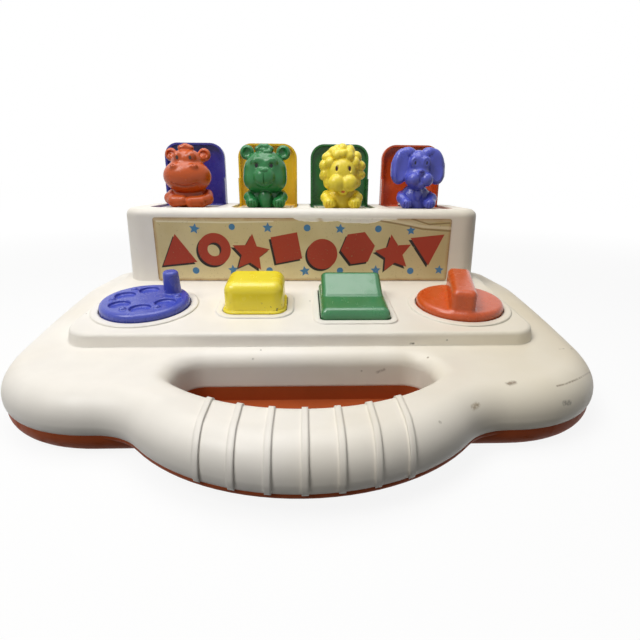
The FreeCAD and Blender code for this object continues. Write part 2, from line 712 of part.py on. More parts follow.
# ---- Base tray -------------------------------------------------------------------------
def tray_form(inset, floor):
    """Tray body: deep under the housing, shallow under the handle."""
    outline = plan_outline().makeOffset2D(-PARTING_INSET - inset)
    shallow_floor = HANDLE_UNDERSIDE_Z + floor
    shallow = Part.Face(outline).extrude(V(0, 0, PARTING_Z - shallow_floor))
    shallow.translate(V(0, 0, shallow_floor))
    rim = edges_on(shallow, outline, shallow_floor - 0.5, shallow_floor + 0.5)
    shallow = shallow.makeFillet(HANDLE_UNDER_R - floor * 0.8, rim)
    deep = Part.Face(outline).extrude(V(0, 0, PARTING_Z - floor))
    deep.translate(V(0, 0, floor))
    front = WING_FRONT_Y + PARTING_INSET + inset
    deep = deep.common(box(-CUT, CUT, front, CUT, -1, CUT))
    rim = [e for e in deep.Edges if max(v.Z for v in e.Vertexes) < floor + 0.01]
    deep = deep.makeFillet(TRAY_FOOT_R - inset, rim)
    body = deep.fuse(shallow)
    return body.cut(hole_prism(inset, -1, CUT))


def hole_ledge():
    """Floor of the tray that shows behind the fingers in the hand opening."""
    plate = hole_prism(TRAY_WALL / 2, 0, TRAY_WALL)
    return plate.common(box(-CUT, CUT, HOLE_BACK_Y - HOLE_LEDGE, CUT, -1, CUT))


def guide_post(x, y):
    """Eye that a push bar slides through, standing on the tray's floor."""
    half = BAR_WIDTH / 2 + SLIDE_GAP
    wide = half + GUIDE_WALL
    top = BAR_DEPTH - SLIDE_GAP
    low = BAR_DEPTH + BAR_HEIGHT + SLIDE_GAP
    post = on_deck(box(x - wide, x + wide, y, y + GUIDE_LENGTH, -CUT / 4, -top + GUIDE_BRIDGE))
    post = post.common(box(-CUT, CUT, -CUT, CUT, TRAY_WALL / 2, CUT))
    window = on_deck(box(x - half, x + half, y - 9, y + GUIDE_LENGTH + 9, -low, -top))
    return post.cut(window)


def button_spring_place():
    return V(BUTTON_X, BUTTON_Y - BUTTON_SPRING_OFFSET, 0)


def base_tray():
    tray = tray_form(0, 0).cut(tray_form(TRAY_WALL, TRAY_WALL))
    posts = [guide_post(x, y) for x in BAR_XS for y in GUIDE_STATIONS]
    for x in BAR_XS:
        posts.append(cylinder(CATCH_BOSS_R, V(x, CATCH_BOSS_Y, TRAY_WALL / 2),
                              V(x, CATCH_BOSS_Y, CATCH_LEVEL)))
    for p in case_points():
        foot = p + V(0, 0, TRAY_WALL / 2)
        posts.append(cylinder(CASE_BOSS_R + BOSS_STEP, foot, p + V(0, 0, PARTING_Z)))
    place = button_spring_place()
    seat = place - V(0, 0, BUTTON_SPRING_SEAT)
    post = cylinder(BUTTON_SPRING_POST_R, place - V(0, 0, CUT / 4), seat)
    spigot_r = BUTTON_SPRING_R - RETURN_WIRE / 2 - SLIDE_GAP
    spigot = cylinder(spigot_r, seat - V(0, 0, 1), seat + V(0, 0, BUTTON_SPIGOT))
    post = on_deck(post.fuse(spigot)).common(box(-CUT, CUT, -CUT, CUT, TRAY_WALL / 2, CUT))
    tray = fuse([tray, hole_ledge(), post] + posts)
    for p in case_points():
        tray = tray.cut(cylinder(CASE_SCREW_R + SLIDE_GAP, p, p + V(0, 0, CUT)))
        tray = tray.cut(cylinder(CASE_HEAD_R + SLIDE_GAP, p - V(0, 0, 1), p + V(0, 0, CASE_HEAD_DEPTH)))
    for x in BAR_XS:
        foot = V(x, CATCH_BOSS_Y, CATCH_LEVEL)
        low = foot - V(0, 0, SMALL_SCREW_LENGTH)
        tray = tray.cut(cylinder(SMALL_SCREW_R + SEAT_GAP, low, foot + V(0, 0, 1)))
    return tray


def case_screw_top():
    return CASE_HEAD_DEPTH + CASE_SCREW_LENGTH


def screw(head_base, direction, shank_r, length, head_r, head_thick):
    """Pan-head screw with a cross recess; the shank starts at head_base."""
    head = cylinder(head_r, head_base - direction * head_thick, head_base)
    far = head_base - direction * head_thick
    crown = [e for e in head.Edges if (e.CenterOfMass - far).Length < 0.01]
    head = head.makeFillet(head_thick * 0.5, crown)
    shank = cylinder(shank_r, head_base, head_base + direction * length)
    body = head.fuse(shank)
    turn = FreeCAD.Rotation(V(0, 0, 1), direction)
    slot = head_r * 1.1
    for size in ((slot, 0.35 * head_r), (0.35 * head_r, slot)):
        cut = box(-size[0] / 2, size[0] / 2, -size[1] / 2, size[1] / 2, -1, head_thick * 0.45)
        cut.Placement = FreeCAD.Placement(far, turn)
        body = body.cut(cut)
    return body


def small_screw(seat, direction, head_r):
    return screw(seat, direction, SMALL_SCREW_R, SMALL_SCREW_LENGTH, head_r, SMALL_HEAD_THICK)


def case_screws():
    up = V(0, 0, 1)
    return [screw(p + up * CASE_HEAD_DEPTH, up, CASE_SCREW_R, CASE_SCREW_LENGTH,
                  CASE_HEAD_R, CASE_HEAD_THICK) for p in case_points()]


# ---- Flaps -----------------------------------------------------------------------------
def at_hinge(shape, x):
    """Moves a shape from a flap's frame (origin on its hinge axis) to the toy's."""
    moved = shape.copy()
    moved.translate(V(x, HINGE_Y, HINGE_Z))
    return moved


def flap_panel():
    """Upright panel with a round-cornered top and its rim."""
    def outline(inset, foot):
        h = FLAP_WIDTH / 2 - inset
        t = PANEL_LENGTH - inset
        q = FLAP_CORNER_R - inset
        k = q * (1 - math.sqrt(0.5))
        return Part.Face(Part.Wire([
            line(V(-h, 0, foot), V(h, 0, foot)),
            line(V(h, 0, foot), V(h, 0, t - q)),
            arc(V(h, 0, t - q), V(h - k, 0, t - k), V(h - q, 0, t)),
            line(V(h - q, 0, t), V(-h + q, 0, t)),
            arc(V(-h + q, 0, t), V(-h + k, 0, t - k), V(-h, 0, t - q)),
            line(V(-h, 0, t - q), V(-h, 0, foot)),
        ]))

    foot = -FLAP_THICK / 2
    face_y = PANEL_SET_BACK - FLAP_THICK
    plate = outline(0, foot).extrude(V(0, PANEL_SET_BACK + GUSSET_DEPTH, 0))
    plate.translate(V(0, -GUSSET_DEPTH, 0))
    hollow = outline(RIM_THICK, foot - 1).extrude(V(0, CUT, 0))
    hollow.translate(V(0, face_y - CUT, 0))
    panel = plate.cut(hollow)
    upper = box(-CUT, CUT, -CUT, face_y - RIM_DEPTH, GUSSET_HEIGHT, CUT)
    panel = panel.cut(upper)
    back_rim = [e for e in panel.Edges
                if min(v.Y for v in e.Vertexes) > PANEL_SET_BACK - 0.01 and e.CenterOfMass.z > 0]
    return panel.makeFillet(FLAP_THICK * 0.4, back_rim)


def flap_floor():
    half = FLAP_WIDTH / 2
    thick = FLAP_THICK / 2
    plate = rounded_block(-half, half, -FLOOR_LENGTH, FLAP_CORNER_R, -thick, thick, FLAP_CORNER_R)
    plate = plate.common(box(-CUT, CUT, -CUT, PANEL_SET_BACK - 0.5, -CUT, CUT))
    tab_top = -(WALL - HINGE_DROP) - SLIDE_GAP
    tab = box(-TAB_HALF_WIDTH, TAB_HALF_WIDTH, -FLOOR_LENGTH - TAB_REACH, -FLOOR_LENGTH + 5,
              tab_top - TAB_THICK, tab_top)
    return plate.fuse(tab)


def flap():
    knuckle = cylinder(KNUCKLE_R, V(-FLAP_WIDTH / 2, 0, 0), V(FLAP_WIDTH / 2, 0, 0))
    body = fuse([flap_panel(), flap_floor(), knuckle])
    free = SPRING_COIL_R + SPRING_WIRE / 2 + 0.5
    body = body.cut(box(-SPRING_WINDOW, SPRING_WINDOW, -free, CUT, -CUT, free))
    body = body.cut(cylinder(HINGE_PIN_R + PIN_FIT, V(-CUT, 0, 0), V(CUT, 0, 0)))
    bolt = V(0, -FIGURE_DISTANCE, 0)
    return body.cut(cylinder(SMALL_SCREW_R + 0.2, bolt - V(0, 0, 9), bolt + V(0, 0, 9)))


def floor_sticker():
    half = FLAP_WIDTH / 2 - STICKER_MARGIN
    base = FLAP_THICK / 2
    free = SPRING_COIL_R + SPRING_WIRE / 2 + 0.5
    sheet = rounded_block(-half, half, -FLOOR_LENGTH + STICKER_MARGIN, FLAP_CORNER_R,
                          base, base + STICKER_THICK, FLAP_CORNER_R - STICKER_MARGIN)
    sheet = sheet.common(box(-CUT, CUT, -CUT, -free - 0.3, -CUT, CUT))
    bolt = V(0, -FIGURE_DISTANCE, 0)
    return sheet.cut(cylinder(SMALL_SCREW_R + 0.2, bolt, bolt + V(0, 0, 9)))


def hinge_pin():
    half = FLAP_WIDTH / 2 + FLAP_SIDE_GAP + EAR_THICK
    return cylinder(HINGE_PIN_R, V(-half, 0, 0), V(half, 0, 0))


def spring_half_length():
    return SPRING_TURNS * SPRING_WIRE / 2 - SPRING_WIRE / 2


def flap_spring():
    """Close-wound torsion spring: one leg under the floor, one on the box's stop."""
    wire = SPRING_WIRE / 2
    outer = []
    inner = []
    groove = wire * 0.4
    for i in range(SPRING_TURNS):
        x = -spring_half_length() + i * SPRING_WIRE
        a, b = x - wire, x + wire
        outer.append(arc(V(a, SPRING_COIL_R + groove, 0), V(x, SPRING_COIL_R + wire, 0),
                         V(b, SPRING_COIL_R + groove, 0)))
        inner.append(arc(V(a, SPRING_COIL_R - groove, 0), V(x, SPRING_COIL_R - wire, 0),
                         V(b, SPRING_COIL_R - groove, 0)))
    far = spring_half_length()
    ends = []
    for end in (-far - wire, far + wire):
        ends.append(line(V(end, SPRING_COIL_R - groove, 0), V(end, SPRING_COIL_R + groove, 0)))
    section = Part.Face(Part.Wire(Part.__sortEdges__(outer + inner + ends)))
    turns = section.revolve(V(0, 0, 0), X_AXIS, 360)
    floor_leg = cylinder(wire, V(far, 0, -SPRING_COIL_R),
                         V(far, -SPRING_LEG, -FLAP_THICK / 2 - wire - SEAT_GAP))
    stop_leg = cylinder(wire, V(-far, SPRING_COIL_R, 0), V(-far, SPRING_COIL_R, -SPRING_LEG))
    return fuse([turns, floor_leg, stop_leg])


def figure_screw():
    base = V(0, -FIGURE_DISTANCE, -FLAP_THICK / 2)
    return small_screw(base, Z_AXIS, SMALL_HEAD_R)


# ---- Animals ---------------------------------------------------------------------------
def ball(x, y, z, radius):
    return sphere(V(x, y, z) * FIGURE_UNIT, radius * FIGURE_UNIT)


def egg(x, y, z, around, along, axis):
    return spheroid(V(x, y, z) * FIGURE_UNIT, around * FIGURE_UNIT, along * FIGURE_UNIT, axis)


def ears(x, y, z, radius):
    """Round ears and the dishes in their fronts, on both sides of the head."""
    discs = [egg(side * x, y, z, radius, radius * 0.6, Y_AXIS) for side in (-1, 1)]
    dishes = [ball(side * x, y - radius * 0.95, z, radius * 0.7) for side in (-1, 1)]
    return discs, dishes


def sitting_body(half_width, arm_x, paw_x):
    """Pear-shaped body with its arms in front and two toed feet."""
    forms = [egg(0, 1, 9, half_width, 11.0, Z_AXIS)]
    for side in (-1, 1):
        forms.append(egg(side * arm_x, -4, 10, 4.2, 6.5, Z_AXIS))
        forms.append(egg(side * paw_x, -7.5, 3.4, 4.9, 5.8, Y_AXIS))
        forms += [ball(side * paw_x + i * 2.1, -12.6, 3.8, 1.6) for i in (-1, 0, 1)]
    return forms


def figure(forms, dishes=()):
    """Joins an animal's forms, flattens its base and drills it for its screw."""
    body = forms[0].multiFuse(forms[1:])
    for dish in dishes:
        body = body.cut(dish)
    body = body.cut(box(-CUT, CUT, -CUT, CUT, -CUT, 0))
    body = body.cut(cylinder(SMALL_SCREW_R + SEAT_GAP, V(0, 0, -1), V(0, 0, SMALL_SCREW_LENGTH)))
    body.translate(V(0, -FIGURE_DISTANCE, FLAP_THICK / 2 + STICKER_THICK))
    return body


def hippo():
    """Wide muzzle with nostrils, high brow with the eyes on it, arms folded in front."""
    forms = [
        egg(0, 1, 8, 13.0, 10.5, Z_AXIS),
        egg(0, -3, 21.1, 10.6, 16.2, X_AXIS),
        egg(0, -0.5, 29.0, 9.4, 11.8, X_AXIS),
        egg(-6, -6.5, 7.2, 4.8, 9.4, X_AXIS),
        egg(6, -6.5, 6.6, 4.8, 9.4, X_AXIS),
        ball(0, -2, 38.6, 2.2),
    ]
    for side in (-1, 1):
        forms += [ball(side * 4.5, -7.2, 33.2, 2.3), ball(side * 5.2, -12.4, 24.2, 1.5)]
        forms += [ball(side * 2.3, -1.6, 37.8, 1.9)]
    discs, dishes = ears(11.2, 1.5, 35.2, 4.4)
    return figure(forms + discs, dishes)


def bear():
    """Broad head with a small muzzle, a curl of hair and round ears."""
    forms = [
        egg(0, 0, 22.6, 12.8, 15.0, X_AXIS),
        egg(0, -8.6, 19.4, 5.4, 6.9, X_AXIS),
        egg(0, -13.4, 22.6, 1.6, 2.2, X_AXIS),
        egg(0, -5, 35.0, 2.6, 4.6, X_AXIS),
    ]
    discs, dishes = ears(11.7, 1.5, 33.8, 4.6)
    return figure(forms + sitting_body(12.4, 10.2, 9.0) + discs, dishes)


def lion():
    """Mane of curls round the face, with two muzzle lobes."""
    forms = [egg(0, 1, 24.5, 12.0, 13.2, X_AXIS), egg(0, -6, 24.0, 7.5, 9.0, X_AXIS)]
    curls = 13
    for i in range(curls):
        angle = math.radians(-50 + 280 * i / (curls - 1))
        forms.append(ball(11.8 * math.cos(angle), -0.5, 24.8 + 11.4 * math.sin(angle), 3.8))
    for side in (-1, 1):
        forms += [ball(side * 4.2, -10.6, 18.2, 4.7)]
    return figure(forms + sitting_body(12.0, 9.8, 8.4))


def dog():
    """Narrow forehead, long hanging ears and full cheeks."""
    forms = [
        egg(0, 1, 27.5, 9.0, 11.0, Z_AXIS),
        egg(0, -8, 20.4, 5.4, 8.2, X_AXIS),
        egg(0, -13.2, 24, 1.8, 2.1, X_AXIS),
    ]
    for side in (-1, 1):
        forms += [egg(side * 12.0, 0.5, 25.5, 5.2, 12.5, Z_AXIS), ball(side * 4.5, -9.8, 19.4, 4.4)]
    return figure(forms + sitting_body(11.0, 9.2, 8.2))


# ---- Catches and push bars -------------------------------------------------------------
def lip_y():
    """Middle of the catch's upright lip, below a closed flap's tab."""
    return HINGE_Y + (WALL - HINGE_DROP) - LEAF_THICK / 2


def leaf_catch(x):
    """Spring-steel strip: long flexible foot, upright lip and a 45 degree ramp."""
    half = LEAF_THICK / 2
    lip = lip_y()
    low = CATCH_LEVEL
    top = CATCH_LIP_TOP
    start = CATCH_BOSS_Y - CATCH_BOSS_R
    ramp_y = lip - half - RAMP_DROP
    skew = LEAF_THICK * math.sqrt(2)
    points = [
        (start, low), (lip + half, low), (lip + half, top), (lip - half, top),
        (ramp_y, top - RAMP_DROP), (ramp_y, top - RAMP_DROP - skew),
        (lip - half, top - skew), (lip - half, low + LEAF_THICK), (start, low + LEAF_THICK),
    ]
    strip = flat_profile(points, LEAF_WIDTH / 2, x)
    foot = V(x, CATCH_BOSS_Y, low - 1)
    return strip.cut(cylinder(SMALL_SCREW_R + 0.2, foot, foot + V(0, 0, 3)))


def catch_screws():
    down = V(0, 0, -1)
    screws = []
    for x in BAR_XS:
        seat = V(x, CATCH_BOSS_Y, CATCH_LEVEL + LEAF_THICK)
        screws.append(small_screw(seat, down, SMALL_HEAD_R))
    return screws


def bar_blank(x, points):
    """Bar along the deck whose front end has the given outline."""
    top = -BAR_DEPTH
    low = top - BAR_HEIGHT
    far = CUT / 4
    bar = flat_profile([(far, low)] + points + [(far, top)], BAR_WIDTH / 2, x)
    bar = on_deck(bar)
    ramp_y = lip_y() - LEAF_THICK / 2
    tip_y = ramp_y - RAMP_GAP
    behind = [(tip_y - CUT, CATCH_LIP_TOP - CUT), (tip_y + CUT, CATCH_LIP_TOP + CUT), (tip_y + CUT, -CUT)]
    return bar.cut(flat_profile(behind, CUT, 0))


def cam_bar(x, contact_x):
    """Push bar with an upright pad that a cam rides on."""
    low = -BAR_DEPTH - BAR_HEIGHT
    front = DIAL_Y + CAM_START + SLIDE_GAP
    bar = bar_blank(x, [(front, low), (front, -PAD_TOP), (front + PAD_THICK, -PAD_TOP),
                        (front + PAD_THICK, -BAR_DEPTH)])
    half = BAR_WIDTH / 2
    x0 = min(x, contact_x) - half
    x1 = max(x, contact_x) + half
    return bar.fuse(on_deck(box(x0, x1, front, front + PAD_THICK, -BAR_DEPTH, -PAD_TOP)))


def button_bar():
    """Push bar with a 45 degree ramp under the button."""
    low = -BAR_DEPTH - BAR_HEIGHT
    rise = BUTTON_RAMP
    front = BUTTON_RAMP_FRONT
    crest = front + rise + BUTTON_RAMP_CREST
    return bar_blank(BUTTON_X, [(front, low), (front + rise, low + rise), (crest, low + rise),
                                (crest, -BAR_DEPTH)])


def rocker_ramp_point():
    """Where the rocker's nose faces the bar's ramp at rest, with its gap."""
    angle = math.radians(ROCKER_RAMP)
    reach = ROCKER_NOSE_R + SLIDE_GAP
    y = ROCKER_Y + ROCKER_NOSE + reach * math.cos(angle)
    n = ROCKER_PIVOT - reach * math.sin(angle)
    return y, n, 1 / math.tan(angle)


def rocker_bar():
    """Push bar with the ramp that the rocker's nose presses on."""
    low = -BAR_DEPTH - BAR_HEIGHT
    y, n, slope = rocker_ramp_point()
    front = y - ROCKER_RAMP_AHEAD
    back = y + ROCKER_RAMP_BEHIND
    crest = back + ROCKER_RAMP_CREST
    top = n + (back - y) * slope
    return bar_blank(ROCKER_X, [(front, low), (front, n + (front - y) * slope), (back, top),
                                (crest, top), (crest, -BAR_DEPTH)])


def coil(radius, wire, start, end, turns):
    """Open compression spring between two points."""
    length = (end - start).Length
    pitch = (length - wire) / turns
    helix = Part.makeHelix(pitch, length - wire, radius)
    section = Part.Wire(Part.makeCircle(wire / 2, V(radius, 0, 0), V(0, 1, 0)))
    solid = Part.Wire(helix).makePipeShell([section], True, True)
    solid.translate(V(0, 0, wire / 2))
    turn = FreeCAD.Rotation(V(0, 0, 1), end - start)
    solid.Placement = FreeCAD.Placement(start, turn).multiply(solid.Placement)
    return solid


def bar_spring(x, pad_back):
    """Return spring round a bar, from its guide to the back of its pad."""
    middle = -BAR_DEPTH - BAR_HEIGHT / 2
    spring = coil(RETURN_COIL_R, RETURN_WIRE, V(x, GUIDE_STATIONS[0] - SEAT_GAP, middle),
                  V(x, pad_back + 0.1, middle), RETURN_TURNS)
    return on_deck(spring)


# ---- Controls --------------------------------------------------------------------------
def turning_body(x):
    """Round disc with a bevelled rim on its shaft; the shaft's end has a flat."""
    low = -WELL_DEPTH + SLIDE_GAP
    disc = disc_block(x, DIAL_R, low, DIAL_THICK)
    rim = [e for e in disc.Edges if abs(e.CenterOfMass.z - DIAL_THICK) < 0.01]
    disc = disc.makeChamfer(DIAL_BEVEL, rim)
    bevel_z = DIAL_THICK - DIAL_BEVEL
    soft = [e for e in disc.Edges if e.CenterOfMass.z > bevel_z - 0.01 and len(e.Vertexes) == 1]
    disc = disc.makeFillet(DIAL_SOFT_R, soft)
    shaft = disc_block(x, SHAFT_R, -BEARING_LENGTH - SLIDE_GAP, low + 1)
    end = disc_block(x, SHAFT_END_R, -BEARING_LENGTH - SLIDE_GAP - CAM_THICK, -BEARING_LENGTH)
    shoulder = -BEARING_LENGTH - SLIDE_GAP
    flat = box(x + SHAFT_FLAT, x + CUT, DIAL_Y - CUT, DIAL_Y + CUT, -CUT, shoulder)
    body = fuse([disc, shaft, end.cut(flat)])
    pilot = V(x, DIAL_Y, shoulder - CAM_THICK)
    return body.cut(cylinder(SMALL_SCREW_R + SEAT_GAP, pilot, pilot + V(0, 0, SMALL_SCREW_LENGTH + 0.5)))


def dial():
    """Dial with finger recesses, small bumps and a peg to turn it by."""
    body = turning_body(-DIAL_X)
    dish_r = (DIAL_RECESS_R ** 2 + DIAL_RECESS_DEPTH ** 2) / (2 * DIAL_RECESS_DEPTH)
    dish_height = dish_r - DIAL_RECESS_DEPTH
    for i in range(DIAL_RECESSES):
        angle = DIAL_FIRST_RECESS + i * DIAL_RECESS_STEP
        spot = polar(V(-DIAL_X, DIAL_Y, 0), DIAL_RECESS_RING, angle)
        body = body.cut(sphere(spot + Z_AXIS * (DIAL_THICK + dish_height), dish_r))
        bump = polar(V(-DIAL_X, DIAL_Y, 0), DIAL_BUMP_RING, angle + DIAL_RECESS_STEP / 2)
        body = body.fuse(sphere(bump + Z_AXIS * (DIAL_THICK - DIAL_BUMP_SINK), DIAL_BUMP_R))
    spot = polar(V(-DIAL_X, DIAL_Y, 0), PEG_RING, PEG_ANGLE)
    peg = Part.makeCone(PEG_R, PEG_TOP_R, PEG_HEIGHT + 1, V(spot.x, spot.y, DIAL_THICK - 1), Z_AXIS)
    top = [e for e in peg.Edges if abs(e.CenterOfMass.z - DIAL_THICK - PEG_HEIGHT) < 0.01]
    peg = peg.makeFillet(1.6, top)
    return on_deck(body.fuse(peg))


def knob():
    """Knob with a round-topped grip bar across it."""
    body = turning_body(DIAL_X)
    grip = rounded_block(-GRIP_HALF_WIDTH, GRIP_HALF_WIDTH, -GRIP_HALF_LENGTH, GRIP_HALF_LENGTH,
                         DIAL_THICK - 2, DIAL_THICK + GRIP_HEIGHT, GRIP_HALF_WIDTH * 0.7)
    rim = [e for e in grip.Edges if min(v.Z for v in e.Vertexes) > DIAL_THICK + GRIP_HEIGHT - 0.01]
    grip = grip.makeFillet(GRIP_HALF_WIDTH * 0.5, rim)
    grip.rotate(V(0, 0, 0), Z_AXIS, GRIP_TURN)
    grip.translate(V(DIAL_X, DIAL_Y, 0))
    return on_deck(body.fuse(grip))


def involute(t):
    """Point of the base circle's involute."""
    return V(math.cos(t) + t * math.sin(t), math.sin(t) - t * math.cos(t), 0) * CAM_BASE_R


def turning_cam(x, side):
    """Cam whose involute lobe moves a flat pad evenly with the turn."""
    start = CAM_START / CAM_BASE_R
    steps = [start - 0.15 + 0.2 * i for i in range(7)]
    curve = Part.BSplineCurve()
    curve.interpolate([involute(t) for t in steps])
    centre = V(0, 0, 0)
    edges = [curve.toShape(), line(involute(steps[-1]), centre), line(centre, involute(steps[0]))]
    lobe = Part.Face(Part.Wire(edges)).extrude(V(0, 0, CAM_THICK))
    hub = cylinder(CAM_HUB_R, centre, V(0, 0, CAM_THICK))
    cam = lobe.fuse(hub)
    cam.rotate(centre, Z_AXIS, 180 - math.degrees(start))
    if side > 0:
        cam = cam.mirror(centre, X_AXIS)
    bore = cylinder(SHAFT_END_R + PIN_FIT, V(0, 0, -1), V(0, 0, CAM_THICK + 1))
    bore = bore.cut(box(SHAFT_FLAT + PIN_FIT, CUT, -CUT, CUT, -CUT, CUT))
    cam = cam.cut(bore)
    cam.translate(V(x, DIAL_Y, -BEARING_LENGTH - SLIDE_GAP - CAM_THICK))
    return on_deck(cam)


def turning_screw(x):
    seat = V(x, DIAL_Y, -BEARING_LENGTH - SLIDE_GAP - CAM_THICK)
    return on_deck(small_screw(seat, Z_AXIS, CAM_HEAD_R))


def push_button():
    """Hollow cap with a stepped foot, a retaining flange and a wedge for its bar."""
    half = BUTTON_HALF_WIDTH
    depth = BUTTON_HALF_DEPTH
    cap = rounded_block(BUTTON_X - half, BUTTON_X + half, BUTTON_Y - depth, BUTTON_Y + depth,
                        0, BUTTON_HEIGHT, BUTTON_CORNER_R)
    rim = [e for e in cap.Edges if min(v.Z for v in e.Vertexes) > BUTTON_HEIGHT - 0.01]
    cap = cap.makeFillet(BUTTON_EDGE_R, rim)
    low = -SLEEVE_DEPTH - FLANGE_THICK - SLIDE_GAP
    foot = button_block(0, low, BUTTON_FOOT_HEIGHT)
    step = [e for e in foot.Edges if min(v.Z for v in e.Vertexes) > BUTTON_FOOT_HEIGHT - 0.01]
    foot = foot.makeFillet(BUTTON_FOOT * 0.8, step)
    flange = button_block(BUTTON_FLANGE, low, low + FLANGE_THICK)
    body = fuse([cap, foot, flange])
    half -= BUTTON_WALL
    depth -= BUTTON_WALL
    roof = BUTTON_HEIGHT - BUTTON_WALL
    inner = rounded_block(BUTTON_X - half, BUTTON_X + half, BUTTON_Y - depth, BUTTON_Y + depth,
                          low - 1, roof, BUTTON_CORNER_R - BUTTON_WALL)
    rim = [e for e in inner.Edges if min(v.Z for v in e.Vertexes) > roof - 0.01]
    body = body.cut(inner.makeFillet(BUTTON_EDGE_R - BUTTON_WALL, rim))
    ramp_low = -BAR_DEPTH - BAR_HEIGHT
    front = BUTTON_RAMP_FRONT - SLIDE_GAP * math.sqrt(2)
    tip = ramp_low + BUTTON_STEM_TIP
    root = ramp_low + BUTTON_RAMP - 0.5
    stem = front + tip - ramp_low - BUTTON_STEM_THICK
    wedge = flat_profile([
        (stem, tip), (front + tip - ramp_low, tip), (front + root - ramp_low, root),
        (front + root - ramp_low, BUTTON_HEIGHT - 1), (stem, BUTTON_HEIGHT - 1),
    ], BAR_WIDTH / 2, BUTTON_X)
    return on_deck(fuse([body, wedge]))


def button_spring():
    place = button_spring_place()
    low = place + V(0, 0, -BUTTON_SPRING_SEAT + SEAT_GAP)
    high = place + V(0, 0, BUTTON_HEIGHT - BUTTON_WALL - SLIDE_GAP)
    return on_deck(coil(BUTTON_SPRING_R, RETURN_WIRE, low, high, BUTTON_SPRING_TURNS))


def rocker_outline(inset):
    """Rocker's side: round back about the pivot, two facets, sloping front."""
    r = ROCKER_BACK_R - inset
    low = -ROCKER_SKIRT - (1 if inset else 0)
    back_low = V(0, math.sqrt(r ** 2 - low ** 2), low)
    high_angle = math.radians(ROCKER_BACK_ANGLE)
    back_top = V(0, r * math.cos(high_angle), r * math.sin(high_angle) - inset * 0.6)
    high_angle = math.atan2(back_top.z, back_top.y)
    back_top = V(0, r * math.cos(high_angle), r * math.sin(high_angle))
    mid_angle = (high_angle + math.atan2(low, back_low.y)) / 2
    back_mid = V(0, r * math.cos(mid_angle), r * math.sin(mid_angle))
    crease = V(0, ROCKER_CREASE_Y, ROCKER_CREASE_Z - inset)
    front_top = V(0, ROCKER_FRONT + 2.0 + inset, ROCKER_FRONT_Z - inset)
    front_low = V(0, ROCKER_FRONT + inset, low)
    return Part.Face(Part.Wire([
        arc(back_low, back_mid, back_top),
        line(back_top, crease),
        line(crease, front_top),
        line(front_top, front_low),
        line(front_low, back_low),
    ]))


def rocker_facet_height(y):
    """Height of the rocker's back facet above its pivot."""
    angle = math.radians(ROCKER_BACK_ANGLE)
    top_y = ROCKER_BACK_R * math.cos(angle)
    top_z = ROCKER_BACK_R * math.sin(angle)
    share = (y - ROCKER_CREASE_Y) / (top_y - ROCKER_CREASE_Y)
    return ROCKER_CREASE_Z + share * (top_z - ROCKER_CREASE_Z)


def rocker():
    """Two-facet rocker, hollow below, with side bosses and a nose for its bar."""
    half = ROCKER_HALF_WIDTH
    body = rocker_outline(0).extrude(V(2 * half, 0, 0))
    body.translate(V(-half, 0, 0))
    top = [e for e in body.Edges if e.CenterOfMass.z > 5 and abs(e.CenterOfMass.x) > half - 0.01]
    cross = [e for e in body.Edges if abs(e.CenterOfMass.x) < 0.01 and e.CenterOfMass.z > 5
             and abs(e.CenterOfMass.y - ROCKER_CREASE_Y) > 1]
    body = body.makeFillet(ROCKER_EDGE_R, top + cross)
    inner_half = half - ROCKER_WALL
    inner = rocker_outline(ROCKER_WALL).extrude(V(2 * inner_half, 0, 0))
    inner.translate(V(-inner_half, 0, 0))
    body = body.cut(inner)
    wide = BAR_WIDTH / 2
    nose = cylinder(ROCKER_NOSE_R, V(-wide, ROCKER_NOSE, 0), V(wide, ROCKER_NOSE, 0))
    near = ROCKER_NOSE - ROCKER_NOSE_R
    stem_top = rocker_facet_height(near) - ROCKER_WALL / 2
    stem = box(-wide, wide, near, ROCKER_NOSE + ROCKER_NOSE_R, 0, stem_top)
    boss = cylinder(ROCKER_PIN_R + ROCKER_WALL, V(-half, 0, 0), V(half, 0, 0))
    between = half - ROCKER_BOSS
    boss = boss.cut(box(-between, between, -CUT, CUT, -CUT, CUT))
    body = fuse([body, nose, stem, boss])
    body = body.cut(cylinder(ROCKER_PIN_R + PIN_FIT, V(-CUT, 0, 0), V(CUT, 0, 0)))
    body.translate(V(ROCKER_X, ROCKER_Y, ROCKER_PIVOT))
    return on_deck(body)


def rocker_pin():
    reach = ROCKER_HALF_WIDTH + SLIDE_GAP + ROCKER_EAR
    return on_deck(cylinder(ROCKER_PIN_R, V(ROCKER_X - reach, ROCKER_Y, ROCKER_PIVOT),
                            V(ROCKER_X + reach, ROCKER_Y, ROCKER_PIVOT)))


def front_label():
    half = LABEL_HALF_WIDTH
    height = LABEL_TOP - LABEL_BOTTOM
    sheet = rounded_block(-half, half, 0, height, 0, LABEL_THICK, LABEL_CORNER_R)
    sheet.rotate(V(0, 0, 0), X_AXIS, 90)
    sheet.translate(V(0, 0, LABEL_BOTTOM))
    return sheet


# ---- Export ----------------------------------------------------------------------------
def write(name, shapes):
    """Writes one sub-part, moved to the toy's origin, as parts/NAME.step."""
    solids = []
    for shape in shapes:
        moved = shape.copy()
        moved.translate(V(0, ORIGIN_Y, 0))
        solids += moved.Solids
    whole = solids[0] if len(solids) == 1 else Part.makeCompound(solids)
    whole.exportStep("parts/" + name + ".step")


